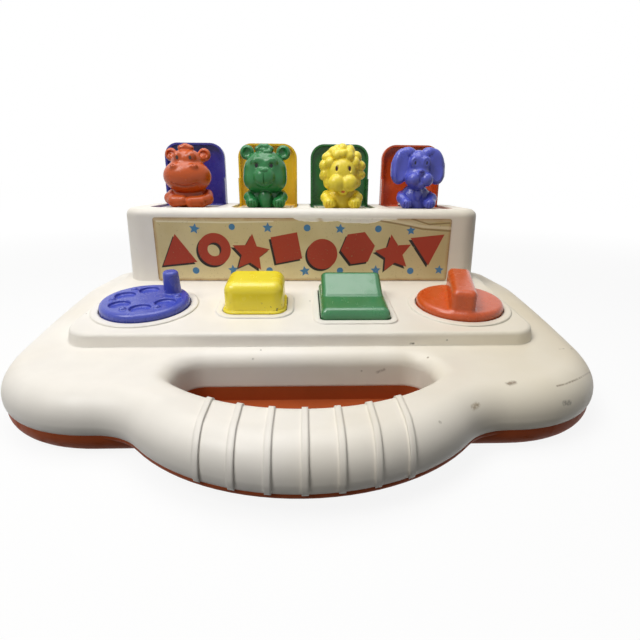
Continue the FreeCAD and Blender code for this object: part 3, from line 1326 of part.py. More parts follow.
def main():
    os.makedirs("parts", exist_ok=True)
    write("upper_shell", [upper_shell()])
    write("base_tray", [base_tray()])
    write("front_label", [front_label()])
    write("case_screws", case_screws())
    write("catch_screws", catch_screws())
    animals = (("hippo", hippo), ("bear", bear), ("lion", lion), ("dog", dog))
    for number, (x, (name, make)) in enumerate(zip(FLAP_XS, animals), start=1):
        write("flap_%d" % number, [at_hinge(flap(), x)])
        write("floor_sticker_%d" % number, [at_hinge(floor_sticker(), x)])
        write("hinge_pin_%d" % number, [at_hinge(hinge_pin(), x)])
        write("flap_spring_%d" % number, [at_hinge(flap_spring(), x)])
        write("figure_screw_%d" % number, [at_hinge(figure_screw(), x)])
        write(name + "_figure", [at_hinge(make(), x)])
    pad_back = DIAL_Y + CAM_START + SLIDE_GAP + PAD_THICK
    ramp_back = rocker_ramp_point()[0] + ROCKER_RAMP_BEHIND + ROCKER_RAMP_CREST
    button_back = BUTTON_RAMP_FRONT + BUTTON_RAMP + BUTTON_RAMP_CREST
    bars = (
        (cam_bar(BAR_XS[0], -DIAL_X + CAM_BASE_R), pad_back),
        (button_bar(), button_back),
        (rocker_bar(), ramp_back),
        (cam_bar(BAR_XS[3], DIAL_X - CAM_BASE_R), pad_back),
    )
    for number, (x, (bar, back)) in enumerate(zip(BAR_XS, bars), start=1):
        write("push_bar_%d" % number, [bar])
        write("bar_spring_%d" % number, [bar_spring(x, back)])
        write("leaf_catch_%d" % number, [leaf_catch(x)])
    write("dial", [dial()])
    write("dial_cam", [turning_cam(-DIAL_X, 1)])
    write("dial_screw", [turning_screw(-DIAL_X)])
    write("knob", [knob()])
    write("knob_cam", [turning_cam(DIAL_X, -1)])
    write("knob_screw", [turning_screw(DIAL_X)])
    write("push_button", [push_button()])
    write("button_spring", [button_spring()])
    write("rocker", [rocker()])
    write("rocker_pin", [rocker_pin()])


main()
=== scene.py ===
import json
import math

import bmesh
import bpy
import numpy as np
import openvdb
from mathutils import Matrix, Vector


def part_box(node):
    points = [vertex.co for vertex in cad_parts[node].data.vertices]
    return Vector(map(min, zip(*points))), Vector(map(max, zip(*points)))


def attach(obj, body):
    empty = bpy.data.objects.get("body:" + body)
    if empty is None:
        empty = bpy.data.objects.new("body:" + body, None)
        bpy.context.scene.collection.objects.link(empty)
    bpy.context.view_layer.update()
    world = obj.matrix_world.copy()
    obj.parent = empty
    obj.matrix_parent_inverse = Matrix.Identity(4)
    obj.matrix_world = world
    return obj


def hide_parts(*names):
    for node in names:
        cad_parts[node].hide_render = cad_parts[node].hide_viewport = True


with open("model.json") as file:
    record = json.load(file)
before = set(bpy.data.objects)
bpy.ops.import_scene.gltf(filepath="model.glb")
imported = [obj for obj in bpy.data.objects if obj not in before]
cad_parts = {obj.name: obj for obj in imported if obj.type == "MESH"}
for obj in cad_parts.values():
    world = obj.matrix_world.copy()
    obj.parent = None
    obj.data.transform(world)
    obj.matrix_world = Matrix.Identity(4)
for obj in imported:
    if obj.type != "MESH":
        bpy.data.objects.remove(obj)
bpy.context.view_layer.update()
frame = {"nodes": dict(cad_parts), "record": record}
NODES = frame["nodes"]
MM = 0.001                      # a millimetre in metres


# ---- Camera, floor and light ---------------------------------------------------------
CAMERA_PLACE = (-0.0002, -0.2341, 0.1087)    # fitted to the photograph's outline
CAMERA_PITCH = 0.315            # radians below the horizon
CAMERA_YAW = -0.039
CAMERA_ROLL = 0.0085
FOCAL_PIXELS = 430.0            # in a frame 640 pixels wide
FRAME_PIXELS = 640.0
SENSOR_MM = 36.0
CLIP = (0.01, 50.0)             # nearest and farthest that the camera sees
FLOOR_HALF = 6.0
FLOOR_GREY = 0.10
FLOOR_GLOW = (0.895, 0.99)      # near the toy and far from it, for rays that see the background
GLOW_REACH = (0.3, 1.1)         # the glow changes between these distances
WORLD_LEVEL = 0.09              # light from all round on the toy
LAMPS = (                       # name, place, size, watts, colour
    ("top", (-0.05, 0.0, 0.56), 0.42, 2.05, (1.0, 0.995, 0.985)),
    ("key", (-0.58, -0.42, 0.86), 0.45, 4.8, (1.0, 0.99, 0.97)),
)


def add_camera():
    data = bpy.data.cameras.new("camera")
    data.sensor_width = SENSOR_MM
    data.lens = FOCAL_PIXELS / FRAME_PIXELS * SENSOR_MM
    data.clip_start, data.clip_end = CLIP
    camera = bpy.data.objects.new("camera", data)
    bpy.context.collection.objects.link(camera)
    turn = (Matrix.Rotation(CAMERA_YAW, 4, "Z")
            @ Matrix.Rotation(math.pi / 2 - CAMERA_PITCH, 4, "X")
            @ Matrix.Rotation(CAMERA_ROLL, 4, "Z"))
    camera.matrix_world = Matrix.Translation(CAMERA_PLACE) @ turn
    bpy.context.scene.camera = camera


def add_lamps():
    for name, place, size, watts, colour in LAMPS:
        data = bpy.data.lights.new(name, "AREA")
        data.size = size
        data.energy = watts
        data.color = colour
        lamp = bpy.data.objects.new(name, data)
        bpy.context.collection.objects.link(lamp)
        lamp.location = place
        lamp.rotation_euler = Vector(place).to_track_quat("Z", "Y").to_euler()


def background_rays(new, link):
    """1 for the rays that see the background: from the camera, mirrored or through glass."""
    path = new("ShaderNodeLightPath")
    seen = path.outputs["Is Camera Ray"]
    for kind in ("Is Glossy Ray", "Is Transmission Ray"):
        either = new("ShaderNodeMath")
        either.operation = "MAXIMUM"
        link(seen, either.inputs[0])
        link(path.outputs[kind], either.inputs[1])
        seen = either.outputs[0]
    return seen


def add_world():
    world = bpy.data.worlds.new("studio")
    bpy.context.scene.world = world
    world.use_nodes = True
    tree = world.node_tree
    tree.nodes.clear()
    out = tree.nodes.new("ShaderNodeOutputWorld")
    mix = tree.nodes.new("ShaderNodeMixShader")
    tree.links.new(background_rays(tree.nodes.new, tree.links.new), mix.inputs["Fac"])
    for slot, level in ((1, WORLD_LEVEL), (2, 1.0)):
        light = tree.nodes.new("ShaderNodeBackground")
        light.inputs["Strength"].default_value = level
        light.inputs["Color"].default_value = (1, 1, 1, 1)
        tree.links.new(light.outputs[0], mix.inputs[slot])
    tree.links.new(mix.outputs[0], out.inputs["Surface"])


def add_floor():
    data = bpy.data.meshes.new("floor")
    h = FLOOR_HALF
    data.from_pydata([(-h, -h, 0), (h, -h, 0), (h, h, 0), (-h, h, 0)], [], [(0, 1, 2, 3)])
    floor = bpy.data.objects.new("floor", data)
    bpy.context.collection.objects.link(floor)
    m = Material("floor_paper", (FLOOR_GREY, FLOOR_GREY, FLOOR_GREY), 0.9, grain=0)
    m.shader.inputs["Specular IOR Level"].default_value = 0.0
    far = m.ramp(m.vector("LENGTH", m.place), *GLOW_REACH)
    near_glow, far_glow = FLOOR_GLOW
    level = m.maths("ADD", m.maths("MULTIPLY", far, far_glow - near_glow), near_glow)
    glow = m.new("ShaderNodeEmission")
    glow.inputs["Color"].default_value = (1, 1, 1, 1)
    m.link(m.maths("MULTIPLY", background_rays(m.new, m.link), level), glow.inputs["Strength"])
    both = m.new("ShaderNodeAddShader")
    m.link(m.shader.outputs[0], both.inputs[0])
    m.link(glow.outputs[0], both.inputs[1])
    m.link(both.outputs[0], m.output.inputs["Surface"])
    data.materials.append(m.material)


# ---- Materials -----------------------------------------------------------------------
BEVEL_SAMPLES = 4
CREVICE_SAMPLES = 8


def srgb(code):
    """Linear colour of a six-digit screen colour."""
    values = [int(code[i:i + 2], 16) / 255 for i in (0, 2, 4)]
    return tuple(v / 12.92 if v <= 0.04045 else ((v + 0.055) / 1.055) ** 2.4 for v in values)


class Material:
    """A node material: a Principled shader with helpers that add to its colour and bump."""

    def __init__(self, name, colour, roughness, grain, metallic=0.0):
        self.material = bpy.data.materials.new(name)
        self.material.use_nodes = True
        self.tree = self.material.node_tree
        self.tree.nodes.clear()
        self.output = self.new("ShaderNodeOutputMaterial")
        self.shader = self.new("ShaderNodeBsdfPrincipled")
        self.link(self.shader.outputs[0], self.output.inputs["Surface"])
        self.shader.inputs["Metallic"].default_value = metallic
        self.shader.inputs["Roughness"].default_value = roughness
        self.place = self.new("ShaderNodeTexCoord").outputs["Object"]
        self.colour = None
        self.paint(colour)
        self.rough = roughness
        self.normal = None
        if grain:
            self.shade(self.patches(45.0, 3.0, 0.3, 0.7), grain)

    def new(self, kind):
        return self.tree.nodes.new(kind)

    def link(self, a, b):
        self.tree.links.new(a, b)

    def feed(self, value, socket):
        if isinstance(value, bpy.types.NodeSocket):
            self.link(value, socket)
        elif isinstance(value, (tuple, list)) and len(value) == 3 and socket.type == "RGBA":
            socket.default_value = (*value, 1.0)
        else:
            socket.default_value = value

    def maths(self, operation, a, b=0.0, clamp=False):
        node = self.new("ShaderNodeMath")
        node.operation = operation
        node.use_clamp = clamp
        self.feed(a, node.inputs[0])
        self.feed(b, node.inputs[1])
        return node.outputs[0]

    def vector(self, operation, a, b=(0, 0, 0)):
        node = self.new("ShaderNodeVectorMath")
        node.operation = operation
        self.feed(a, node.inputs[0])
        self.feed(b, node.inputs[1])
        single = operation in ("LENGTH", "DOT_PRODUCT", "DISTANCE")
        return node.outputs[1 if single else 0]

    def product(self, first, *others):
        for other in others:
            first = self.maths("MULTIPLY", first, other)
        return first

    def noise(self, scale, detail=2.0, where=None):
        node = self.new("ShaderNodeTexNoise")
        node.inputs["Scale"].default_value = scale
        node.inputs["Detail"].default_value = detail
        self.link(where or self.place, node.inputs["Vector"])
        return node.outputs[0]

    def ramp(self, value, low, high):
        """0 below low, 1 above high, smooth between."""
        node = self.new("ShaderNodeMapRange")
        node.interpolation_type = "SMOOTHSTEP"
        self.feed(value, node.inputs["Value"])
        node.inputs["From Min"].default_value = min(low, high)
        node.inputs["From Max"].default_value = max(low, high)
        if low > high:
            node.inputs["To Min"].default_value = 1.0
            node.inputs["To Max"].default_value = 0.0
        return node.outputs[0]

    def patches(self, scale, detail, low, high):
        """Mask of the places where noise is high, with a soft edge from low to high."""
        return self.ramp(self.noise(scale, detail), low, high)

    def mix(self, share, a, b, mode="MIX"):
        node = self.new("ShaderNodeMix")
        node.data_type = "RGBA"
        node.blend_type = mode
        self.feed(share, node.inputs["Factor"])
        self.feed(a, node.inputs["A"])
        self.feed(b, node.inputs["B"])
        return node.outputs["Result"]

    def paint(self, colour, mask=1.0):
        """Covers the colour so far where the mask is 1."""
        if self.colour is None:
            self.colour = colour
        else:
            self.colour = self.mix(mask, self.colour, colour)
        self.feed(self.colour, self.shader.inputs["Base Color"])

    def stain(self, code, *shares):
        """Paints a screen colour as strongly as the product of its masks and strengths."""
        self.paint(srgb(code), self.product(*shares))

    def shade(self, mask, depth):
        """Darkens by up to depth where the mask is 0."""
        level = self.maths("ADD", self.maths("MULTIPLY", mask, depth), 1.0 - depth)
        grey = self.new("ShaderNodeCombineColor")
        for socket in grey.inputs[:3]:
            self.link(level, socket)
        self.colour = self.mix(1.0, self.colour, grey.outputs[0], "MULTIPLY")
        self.feed(self.colour, self.shader.inputs["Base Color"])

    def roughen(self, mask, change):
        self.rough = self.maths("ADD", self.maths("MULTIPLY", mask, change), self.rough)
        self.feed(self.rough, self.shader.inputs["Roughness"])

    def soften_edges(self, radius):
        """Rounds sharp moulded edges in the shading."""
        bevel = self.new("ShaderNodeBevel")
        bevel.samples = BEVEL_SAMPLES
        bevel.inputs["Radius"].default_value = radius
        self.normal = bevel.outputs[0]
        self.feed(self.normal, self.shader.inputs["Normal"])

    def bump(self, height, strength, distance):
        node = self.new("ShaderNodeBump")
        node.inputs["Strength"].default_value = strength
        node.inputs["Distance"].default_value = distance
        self.feed(height, node.inputs["Height"])
        if self.normal is not None:
            self.link(self.normal, node.inputs["Normal"])
        self.normal = node.outputs[0]
        self.feed(self.normal, self.shader.inputs["Normal"])

    def part(self, axis):
        node = self.new("ShaderNodeSeparateXYZ")
        self.link(self.place, node.inputs[0])
        return node.outputs["XYZ".index(axis)]

    def spot(self, centre, radii, edge):
        """Mask of a soft ellipsoid about a place, with its edge as a share."""
        shifted = self.vector("SUBTRACT", self.place, tuple(centre))
        scaled = self.vector("DIVIDE", shifted, tuple(radii))
        return self.ramp(self.vector("LENGTH", scaled), 1.0, 1.0 - edge)

    def stroke(self, points, width, edge, where):
        """Mask of a dot or a line through points, with a soft edge as a share of its width."""
        gaps = []
        for a, b in zip(points, points[1:] or points):
            a, b = Vector(a), Vector(b)
            shifted = self.vector("SUBTRACT", where, tuple(a))
            along = b - a
            if along.length > 0:
                share = self.vector("DOT_PRODUCT", shifted, tuple(along / along.length_squared))
                node = self.new("ShaderNodeVectorMath")
                node.operation = "SCALE"
                node.inputs[0].default_value = along
                self.link(self.maths("ADD", share, 0.0, clamp=True), node.inputs["Scale"])
                shifted = self.vector("SUBTRACT", shifted, node.outputs[0])
            gaps.append(self.vector("LENGTH", shifted))
        gap = gaps[0]
        for other in gaps[1:]:
            gap = self.maths("MINIMUM", gap, other)
        return self.ramp(gap, width, width * (1 - edge))

    def crevices(self, distance):
        """Mask that is 1 in tight corners."""
        node = self.new("ShaderNodeAmbientOcclusion")
        node.samples = CREVICE_SAMPLES
        node.inputs["Distance"].default_value = distance
        return self.maths("SUBTRACT", 1.0, node.outputs["AO"])


FLOW_STRETCH = (900.0, 60.0, 60.0)    # fine scratches run across the toy's X axis


def plastic(name, code, roughness=0.24, worn=0.10, texture=0.12, gloss=0.42, soft=0.0005):
    """Glossy injection-moulded plastic with faint flow marks, dust and fine scratches."""
    m = Material(name, srgb(code), roughness, grain=0.05)
    m.shader.inputs["Specular IOR Level"].default_value = gloss
    m.soften_edges(soft)
    m.roughen(m.patches(160.0, 4.0, 0.45, 0.75), 0.10)
    stretched = m.vector("MULTIPLY", m.place, FLOW_STRETCH)
    m.roughen(m.ramp(m.noise(1.0, 2.0, stretched), 0.66, 0.74), worn)
    m.bump(m.noise(700.0, 2.0), texture * 0.4, 0.0002)
    return m


def dress(node, material):
    """Puts a material on a carried-over CAD node."""
    item = NODES[node]
    item.data.materials.clear()
    item.data.materials.append(material.material)


SCUFF_EDGE = 0.95               # soft share of a scuff's width
SCUFFS = (                      # points in millimetres, width, colour, strength
    (((86.6, -71.6, 26.8), (89.6, -70.4, 26.9)), 1.9, "6d5538", 0.85),
    (((66.9, -84.2, 22.8), (69.6, -82.4, 23.2)), 1.9, "8f7750", 0.75),
    (((108.3, -71.1, 25.3), (113.5, -69.0, 25.4), (118.6, -65.8, 25.0), (124.9, -61.3, 24.4),
      (131.2, -55.7, 23.4), (137.4, -49.7, 21.7)), 0.7, "7a6242", 0.75),
    (((109.6, -75.8, 19.6), (113.0, -74.8, 19.4)), 1.7, "3f3324", 0.85),
    (((49.6, -97.3, 24.5),), 1.0, "5f5038", 0.85),
    (((137.8, -32.8, 26.8),), 1.1, "5f5038", 0.8),
    (((130.0, -34.6, 27.6), (132.6, -34.2, 27.5)), 0.7, "7a6a4c", 0.7),
    (((3.4, 14.2, 39.7),), 0.9, "4c4638", 0.9),
    (((-21.8, -33.2, 27.5),), 0.8, "5f5544", 0.8),
    (((-25.4, -37.4, 24.5),), 0.9, "5f5544", 0.7),
    (((54.2, -29.8, 29.2), (56.0, -29.8, 29.2)), 0.8, "3f382c", 0.9),
    (((73.2, -29.6, 30.9),), 0.8, "4c4434", 0.8),
    (((36.4, -38.8, 17.4), (39.8, -38.8, 18.9)), 1.3, "7b6656", 0.5),
)


def shell_material():
    """Cream plastic, yellower and darker to the right, with specks, scuffs and painted shade in
    the deck's corners.
    """
    m = plastic("cream_plastic", "f6f1e8", 0.36, 0.06, soft=0.0014)
    across = m.part("X")
    # yellower towards the right and darker again at its right edge
    m.stain("e8dfca", m.ramp(across, -0.02, 0.14), 0.80)
    m.stain("c0aa80", m.ramp(across, 0.112, 0.152), 0.55)
    m.stain("ddcfae", m.patches(14.0, 3.0, 0.45, 0.78), 0.28)
    deck_only = m.ramp(m.part("Y"), -0.066, -0.050)
    # brown painted shade, broken into patches, in the deck's corners and creases
    crevice_shade = m.ramp(m.crevices(0.0022), 0.50, 0.95)
    m.stain("5d4b38", crevice_shade, deck_only, m.patches(60.0, 3.0, 0.30, 0.62), 0.75)
    ragged = m.patches(850.0, 4.0, 0.22, 0.62)
    millimetres = m.vector("MULTIPLY", m.place, (1 / MM, 1 / MM, 1 / MM))
    for points, width, code, strength in SCUFFS:
        m.stain(code, m.stroke(points, width, SCUFF_EDGE, millimetres), ragged, strength)
    specks = m.new("ShaderNodeTexVoronoi")
    specks.inputs["Scale"].default_value = 95.0
    m.link(m.place, specks.inputs["Vector"])
    near = m.ramp(specks.outputs["Distance"], 0.075, 0.035)
    m.stain("7b6a52", near, m.patches(22.0, 1.0, 0.60, 0.66), 0.75)
    m.roughen(m.patches(30.0, 3.0, 0.4, 0.7), 0.08)
    return m


def base_material():
    """Dull red-orange plastic, browned in patches, with painted shade in its corners."""
    m = plastic("red_orange_plastic", "ac5128", 0.50, 0.08, gloss=0.12)
    m.stain("864020", m.patches(20.0, 3.0, 0.4, 0.7), 0.35)
    # dark brown painted shade in corners and recesses
    m.stain("3f2417", m.ramp(m.crevices(0.004), 0.4, 0.9), 0.35)
    m.roughen(m.patches(240.0, 4.0, 0.50, 0.78), 0.2)
    return m


# ---- Printed paper -------------------------------------------------------------------
class Print:
    """Flat printed shapes on a material, in millimetres along two of its axes."""

    SOFT = 0.14                 # half the width of a printed edge

    def __init__(self, m, axes):
        self.m = m
        node = m.new("ShaderNodeCombineXYZ")
        for socket, axis in zip(node.inputs, axes):
            m.link(m.maths("MULTIPLY", m.part(axis), 1 / MM), socket)
        self.plane = node.outputs[0]

    def disc(self, centre, radius):
        gap = self.m.vector("DISTANCE", self.plane, (*centre, 0.0))
        return self.m.ramp(gap, radius + self.SOFT, radius - self.SOFT)

    def star(self, centre, tip, valley, points, turn):
        """Star or polygon: tip and valley are the radii of its outer and inner corners."""
        m = self.m
        shifted = m.vector("SUBTRACT", self.plane, (*centre, 0.0))
        node = m.new("ShaderNodeSeparateXYZ")
        m.link(shifted, node.inputs[0])
        angle = m.maths("ARCTAN2", node.outputs[1], node.outputs[0])
        half = math.pi / points
        positive = m.maths("ADD", angle, 4 * math.pi - math.radians(turn))
        folded = m.maths("PINGPONG", positive, half)
        reach = m.vector("LENGTH", shifted)
        run = m.maths("MULTIPLY", reach, m.maths("COSINE", folded))
        rise = m.maths("MULTIPLY", reach, m.maths("SINE", folded))
        edge = Vector((valley * math.cos(half) - tip, valley * math.sin(half)))
        edge.normalize()
        gap = m.maths("ADD", m.maths("MULTIPLY", run, edge.y), m.maths("MULTIPLY", rise, -edge.x))
        limit = tip * edge.y
        return m.ramp(gap, limit + self.SOFT, limit - self.SOFT)

    def shape(self, kind, centre, size, turn):
        """One of the basic shapes of a child's shape sorter."""
        x, y = centre
        if kind == "disc":
            return self.disc(centre, size)
        if kind == "ring":
            inner = self.m.maths("SUBTRACT", 1.0, self.disc(centre, size * 0.42))
            return self.m.maths("MULTIPLY", self.disc(centre, size), inner)
        if kind == "star":
            return self.star(centre, size, size * 0.48, 5, turn)
        sides = {"triangle": 3, "square": 4, "hexagon": 6}[kind]
        return self.star(centre, size, size * math.cos(math.pi / sides), sides, turn)

    def shapes(self, items, shift=(0.0, 0.0)):
        mask = None
        for kind, x, y, size, turn in items:
            one = self.shape(kind, (x + shift[0], y + shift[1]), size, turn)
            mask = one if mask is None else self.m.maths("MAXIMUM", mask, one)
        return mask


LABEL_SHAPES = (                # kind, x, height, size, turn in degrees
    ("triangle", -82.0, 62.0, 13.0, 96.0), ("ring", -58.5, 65.0, 10.6, 0.0),
    ("star", -35.0, 62.5, 12.8, 84.0), ("square", -11.5, 66.0, 12.4, 56.0),
    ("disc", 12.0, 62.0, 10.0, 0.0), ("hexagon", 35.5, 66.0, 11.4, 8.0),
    ("star", 59.5, 62.5, 12.8, 100.0), ("triangle", 82.0, 67.5, 13.0, -84.0),
)
LABEL_SPOTS = (
    ("star", -70.5, 78.2, 3.6, 80.0), ("disc", -46.5, 79.5, 2.0, 0.0),
    ("disc", -71.5, 51.0, 2.2, 0.0), ("star", -47.0, 51.5, 3.5, 95.0),
    ("disc", -23.0, 51.0, 2.2, 0.0), ("star", -23.5, 79.0, 3.5, 88.0),
    ("star", 0.5, 50.6, 3.6, 100.0), ("disc", 2.0, 79.0, 2.2, 0.0),
    ("disc", 24.0, 51.0, 2.1, 0.0), ("star", 23.5, 78.5, 3.5, 84.0),
    ("star", 48.0, 51.2, 3.6, 92.0), ("disc", 48.5, 78.6, 2.2, 0.0),
    ("disc", 71.5, 50.8, 2.2, 0.0), ("star", 70.0, 77.6, 3.2, 96.0),
    ("star", 91.0, 51.5, 3.3, 86.0),
)
SHAPE_SHADOW = (-1.3, -1.4)
# lines on the label: points in millimetres, half width, soft share
LABEL_CREASE = (((50.0, 83.6, 0), (64.0, 81.2, 0), (78.0, 78.4, 0), (96.0, 77.2, 0)), 1.0, 0.9)
LABEL_FOLD = (((70.0, 85.0, 0), (82.0, 81.4, 0), (95.0, 82.4, 0)), 0.8, 0.9)
# pale painted highlight beside the crease
LABEL_CREASE_HIGHLIGHT = (((52.0, 84.6, 0), (78.0, 80.2, 0), (96.0, 79.2, 0)), 1.6, 0.9)
LABEL_WEAR = (((-94.0, 82.8, 0), (-52.0, 82.2, 0), (-20.0, 83.0, 0)), 0.7, 0.8)


def label_material():
    """Old paper label: faded print, browned rim, torn top edge and creases."""
    m = Material("label_paper", srgb("dccb9b"), 0.52, grain=0.10)
    m.shader.inputs["Specular IOR Level"].default_value = 0.35
    flat = Print(m, "XZ")
    low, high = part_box("front_label")
    left, right, bottom, top = (v / MM for v in (low[0], high[0], low[2], high[2]))
    across = m.maths("MULTIPLY", m.part("X"), 1 / MM)
    up = m.maths("MULTIPLY", m.part("Z"), 1 / MM)
    m.stain("ead9a6", m.ramp(up, 58.0, 46.0), 0.55)
    m.stain("b9a878", m.ramp(across, -10.0, 96.0), 0.55)
    m.stain("c3ae78", m.patches(38.0, 4.0, 0.42, 0.70), 0.45)
    fade = m.patches(420.0, 4.0, 0.18, 0.34)
    m.stain("1d1512", flat.shapes(LABEL_SHAPES, SHAPE_SHADOW), fade)
    m.stain("a53c28", flat.shapes(LABEL_SHAPES), fade)
    m.stain("4a7da6", flat.shapes(LABEL_SPOTS), fade)
    # distance from the nearest edge, made ragged by noise
    from_left, from_right = m.maths("SUBTRACT", across, left), m.maths("SUBTRACT", right, across)
    from_foot, from_top = m.maths("SUBTRACT", up, bottom), m.maths("SUBTRACT", top, up)
    edge = m.maths("MINIMUM", m.maths("MINIMUM", from_left, from_right),
                   m.maths("MINIMUM", from_foot, from_top))
    ragged = m.maths("SUBTRACT", m.noise(170.0, 4.0), 0.5)
    rim = m.maths("ADD", edge, m.maths("MULTIPLY", ragged, 1.6))
    m.stain("b58a5c", m.ramp(rim, 2.2, 0.9), 0.50)
    m.stain("8f6a44", m.ramp(rim, 0.7, 0.1), 0.75)
    # strip torn off along the top, wider in patches right of the middle
    depth = m.maths("ADD", m.maths("MULTIPLY", m.noise(55.0, 5.0), 7.5), -1.6)
    strip = m.ramp(m.maths("SUBTRACT", from_top, depth), 0.25, -0.25)
    waver = m.maths("MULTIPLY", m.maths("SUBTRACT", m.noise(70.0, 2.0), 0.5), 60.0)
    wavered = m.maths("ADD", across, waver)
    wide = m.product(m.ramp(wavered, -4.0, 2.0), m.ramp(wavered, 62.0, 54.0), 0.85)
    torn = m.maths("MULTIPLY", strip, m.maths("ADD", wide, 0.10))
    m.stain("f3ede1", torn)
    crease, fold, crease_highlight, worn = (m.stroke(*line, flat.plane) for line in
                                  (LABEL_CREASE, LABEL_FOLD, LABEL_CREASE_HIGHLIGHT, LABEL_WEAR))
    creases = m.maths("MAXIMUM", crease, fold)
    # pale painted highlight beside the crease, and painted shade along the crease and fold
    m.stain("efe2c2", crease_highlight, 0.6)
    m.stain("8a7048", creases, 0.8)
    m.stain("f0e6cc", worn, 0.7)
    m.stain("8a7650", m.patches(900.0, 3.0, 0.64, 0.74), 0.4)
    m.roughen(torn, 0.3)
    relief = m.maths("SUBTRACT", m.maths("MULTIPLY", m.noise(1200.0, 3.0), 0.25), torn)
    m.bump(m.maths("SUBTRACT", relief, creases), 0.6, 0.0003)
    return m


# kind, across and along from the sticker's front middle, size, turn, colour
STICKER_SHAPES = (
    (("star", -12.5, 8.0, 4.2, 84.0), "a8402a"), (("disc", -14.0, 18.0, 2.2, 0.0), "3f72a0"),
    (("square", 12.8, 7.5, 3.8, 55.0), "2f6a3c"), (("triangle", 14.0, 18.5, 3.4, 90.0), "c9a02c"),
    (("disc", 4.4, 4.6, 1.6, 0.0), "5b3a78"), (("disc", -4.6, 4.4, 1.6, 0.0), "3f72a0"),
)


def sticker_material(number, code):
    """Cream sticker with a printed rim and small shapes, rubbed along its front."""
    m = Material("sticker_paper_%d" % number, srgb("e9e2cd"), 0.45, grain=0.10)
    low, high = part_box("floor_sticker_%d" % number)
    flat = Print(m, "XY")
    middle, front = (low[0] + high[0]) / 2 / MM, low[1] / MM
    rub = m.patches(380.0, 4.0, 0.26, 0.48)
    for (kind, x, y, size, turn), ink in STICKER_SHAPES:
        m.stain(ink, flat.shape(kind, (middle + x, front + y), size, turn), rub)
    across = m.maths("SUBTRACT", m.maths("MULTIPLY", m.part("X"), 1 / MM), middle)
    side = m.maths("SUBTRACT", (high[0] - low[0]) / 2 / MM, m.maths("ABSOLUTE", across))
    ahead = m.maths("SUBTRACT", m.maths("MULTIPLY", m.part("Y"), 1 / MM), front)
    rim = m.maths("MINIMUM", side, ahead)
    m.stain(code, m.ramp(rim, 1.3, 1.5), m.ramp(rim, 2.5, 2.3), rub, 0.8)
    m.stain("bfae86", m.patches(60.0, 4.0, 0.5, 0.75), 0.5)
    m.bump(m.noise(1200.0, 3.0), 0.15, 0.0002)
    return m


def steel_material():
    m = Material("zinc_plated_steel", (0.62, 0.62, 0.63), 0.32, 0.08, metallic=1.0)
    streaks = m.noise(1.0, 3.0, m.vector("MULTIPLY", m.place, (2500.0, 200.0, 200.0)))
    m.roughen(m.ramp(streaks, 0.4, 0.7), 0.12)
    m.bump(streaks, 0.05, 0.0001)
    return m


def nylon_material():
    m = plastic("natural_nylon", "eceae2", 0.45, 0.05)
    m.shader.inputs["Subsurface Weight"].default_value = 0.15
    m.shader.inputs["Subsurface Radius"].default_value = (0.002, 0.002, 0.002)
    return m


def button_material():
    """Lemon plastic with dirt specks low on its front."""
    m = plastic("button_yellow", "fbe62c", 0.20, gloss=0.6, soft=0.0010)
    specks = m.patches(620.0, 3.0, 0.65, 0.71)
    low = m.ramp(m.part("Z"), 0.0460, 0.0425)
    ahead = m.ramp(m.part("Y"), 0.000, -0.004)
    m.stain("6d6030", specks, low, ahead, 0.7)
    return m


FLAP_COLOURS = (("blue", "403da0"), ("yellow", "f4c824"), ("green", "25702f"), ("red", "d2501a"))
STICKER_RIMS = ("3a4a90", "b58a1e", "2f6a3c", "a8402a")
STEEL_OF_EACH_FLAP = ("hinge_pin", "flap_spring", "leaf_catch", "bar_spring", "figure_screw")
OTHER_STEEL = ("case_screws", "catch_screws", "rocker_pin", "button_spring", "dial_screw",
               "knob_screw")


def dress_nodes():
    steel = steel_material()
    nylon = nylon_material()
    dress("upper_shell", shell_material())
    dress("base_tray", base_material())
    for n, ((name, code), rim) in enumerate(zip(FLAP_COLOURS, STICKER_RIMS), start=1):
        dress("flap_%d" % n, plastic("flap_" + name, code))
        dress("floor_sticker_%d" % n, sticker_material(n, rim))
        for kind in STEEL_OF_EACH_FLAP:
            dress("%s_%d" % (kind, n), steel)
        dress("push_bar_%d" % n, nylon)
    for node in OTHER_STEEL:
        dress(node, steel)
    for node in ("dial_cam", "knob_cam"):
        dress(node, nylon)
    dress("push_button", button_material())
    dress("front_label", label_material())


# ---- Modelled forms ------------------------------------------------------------------
CELL = 0.28                     # millimetres between the samples of a form
FAR = 10.0                      # distance that an empty form starts with


